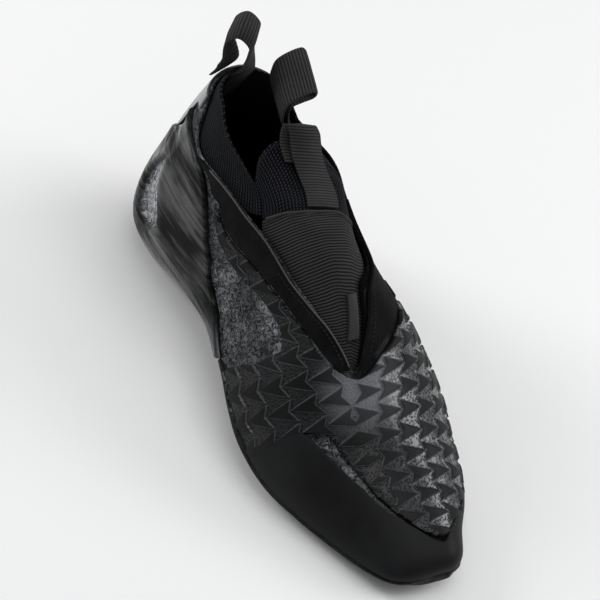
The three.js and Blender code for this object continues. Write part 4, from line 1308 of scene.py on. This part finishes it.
def seams():
    """Stitch rows, the cords along the suede's edges and the overlocked knit."""
    row = np.linspace(2.75, 9.3, 260)
    top = follow(BAND_TOP, row)
    low, low_row = follow(BAND_LOW, row[20:]), row[20:]
    suede = GAP + BAND
    tube("band_piping", "suede", "piping", row, top - 0.4, suede - 0.25, 0.42)
    tube("band_lower_cord", "suede", "suede", low_row, low + 0.6, suede - 0.3, 0.4)
    stitches("band_stitches", row[120:], top[120:] - 3.4, suede + 0.02, 2.0, 1.3, 0.3)
    row = np.linspace(4.2, 9.2, 200)
    tube("patch_rim", "suede", "suede", row, follow(PATCH_TOP, row) + 0.8, suede - 0.1, 0.55)
    row = np.linspace(5.7, 9.0, 200)
    beside = follow(PATCH_TOP, row) + 4.6
    stitches("patch_stitches", row, beside, suede + 0.02, 2.1, 1.35, 0.34)
    angle = np.linspace(45, 134, 200)
    seam = follow(GORE_SEAM, angle)
    stitches("seam_zigzag", seam + 0.16, angle, SOFT + 0.1, 0.8, 1.3, 0.26, lean=1.3)
    tube("seam_fold", "knit", "elastic", seam, angle, SOFT - 0.05, 0.6)
    for name, table, angle in (
        ("collar_overlock", COLLAR_RIM, np.linspace(-212, 40, 400)),
        ("tongue_overlock", TONGUE_TOP, np.linspace(45, 136, 200)),
    ):
        stitches(name, follow(table, angle) + 0.1, angle, SOFT + 0.02, 0.9, 1.5, 0.24, lean=3.5)


def build():
    upper()
    outsole()
    insole()
    heel_cup()
    heel_tab()
    toe_rubber()
    relief()
    band("suede_band", "throat_band", BAND_LOW, BAND_TOP)
    band("suede_crescent", "medial_patch", PATCH_LOW, PATCH_TOP)
    elastic_gore()
    knit_tongue()
    knit_collar()
    tag_bar()
    rear_loop()
    medial_loop()
    tongue_tab()
    seams()


def place_camera():
    back = Vector(VIEW_BACK).normalized()
    up = Vector(VIEW_UP)
    up = (up - back * up.dot(back)).normalized()
    right = up.cross(back)
    aim = (Vector(VIEW_AIM) - Vector(ORIGIN)) / 1000
    data = bpy.data.cameras.new("camera")
    data.sensor_width = SENSOR
    data.lens = VIEW_DISTANCE * VIEW_SCALE / PICTURE * SENSOR
    data.shift_x = -(VIEW_AT[0] - PICTURE / 2) / PICTURE
    data.shift_y = (VIEW_AT[1] - PICTURE / 2) / PICTURE
    data.clip_end = 20
    camera = bpy.data.objects.new("camera", data)
    turn = Matrix((right, up, back)).transposed().to_4x4()
    camera.matrix_world = Matrix.Translation(aim + back * VIEW_DISTANCE / 1000) @ turn
    bpy.context.scene.collection.objects.link(camera)
    bpy.context.scene.camera = camera
    bpy.context.scene.view_settings.view_transform = "Standard"


def area_light(name, at, size, power):
    data = bpy.data.lights.new(name, "AREA")
    data.shape = "RECTANGLE"
    data.size, data.size_y = size
    data.energy = power
    lamp = bpy.data.objects.new(name, data)
    lamp.location = at
    lamp.rotation_euler = (Vector(LIGHT_AIM) - Vector(at)).to_track_quat("-Z", "Y").to_euler()
    bpy.context.scene.collection.objects.link(lamp)


def stage():
    corners = [(x * FLOOR_REACH, y * FLOOR_REACH, 0) for x, y in ((-1, -1), (1, -1), (1, 1), (-1, 1))]
    mesh = bpy.data.meshes.new("floor")
    mesh.from_pydata(corners, [], [(0, 1, 2, 3)])
    floor = bpy.data.objects.new("floor", mesh)
    bpy.context.scene.collection.objects.link(floor)
    floor.data.materials.append(Look("floor").finish(grey(FLOOR_GREY), 0.9, specular=0.1))
    floor.location.z = -FLOOR_DROP
    world = bpy.data.worlds.new("studio")
    world.use_nodes = True
    room = next(n for n in world.node_tree.nodes if n.type == "BACKGROUND")
    room.inputs["Color"].default_value = ROOM_COLOUR
    room.inputs["Strength"].default_value = ROOM_LIGHT
    bpy.context.scene.world = world
    for light in LIGHTS:
        area_light(*light)


build()
place_camera()
stage()
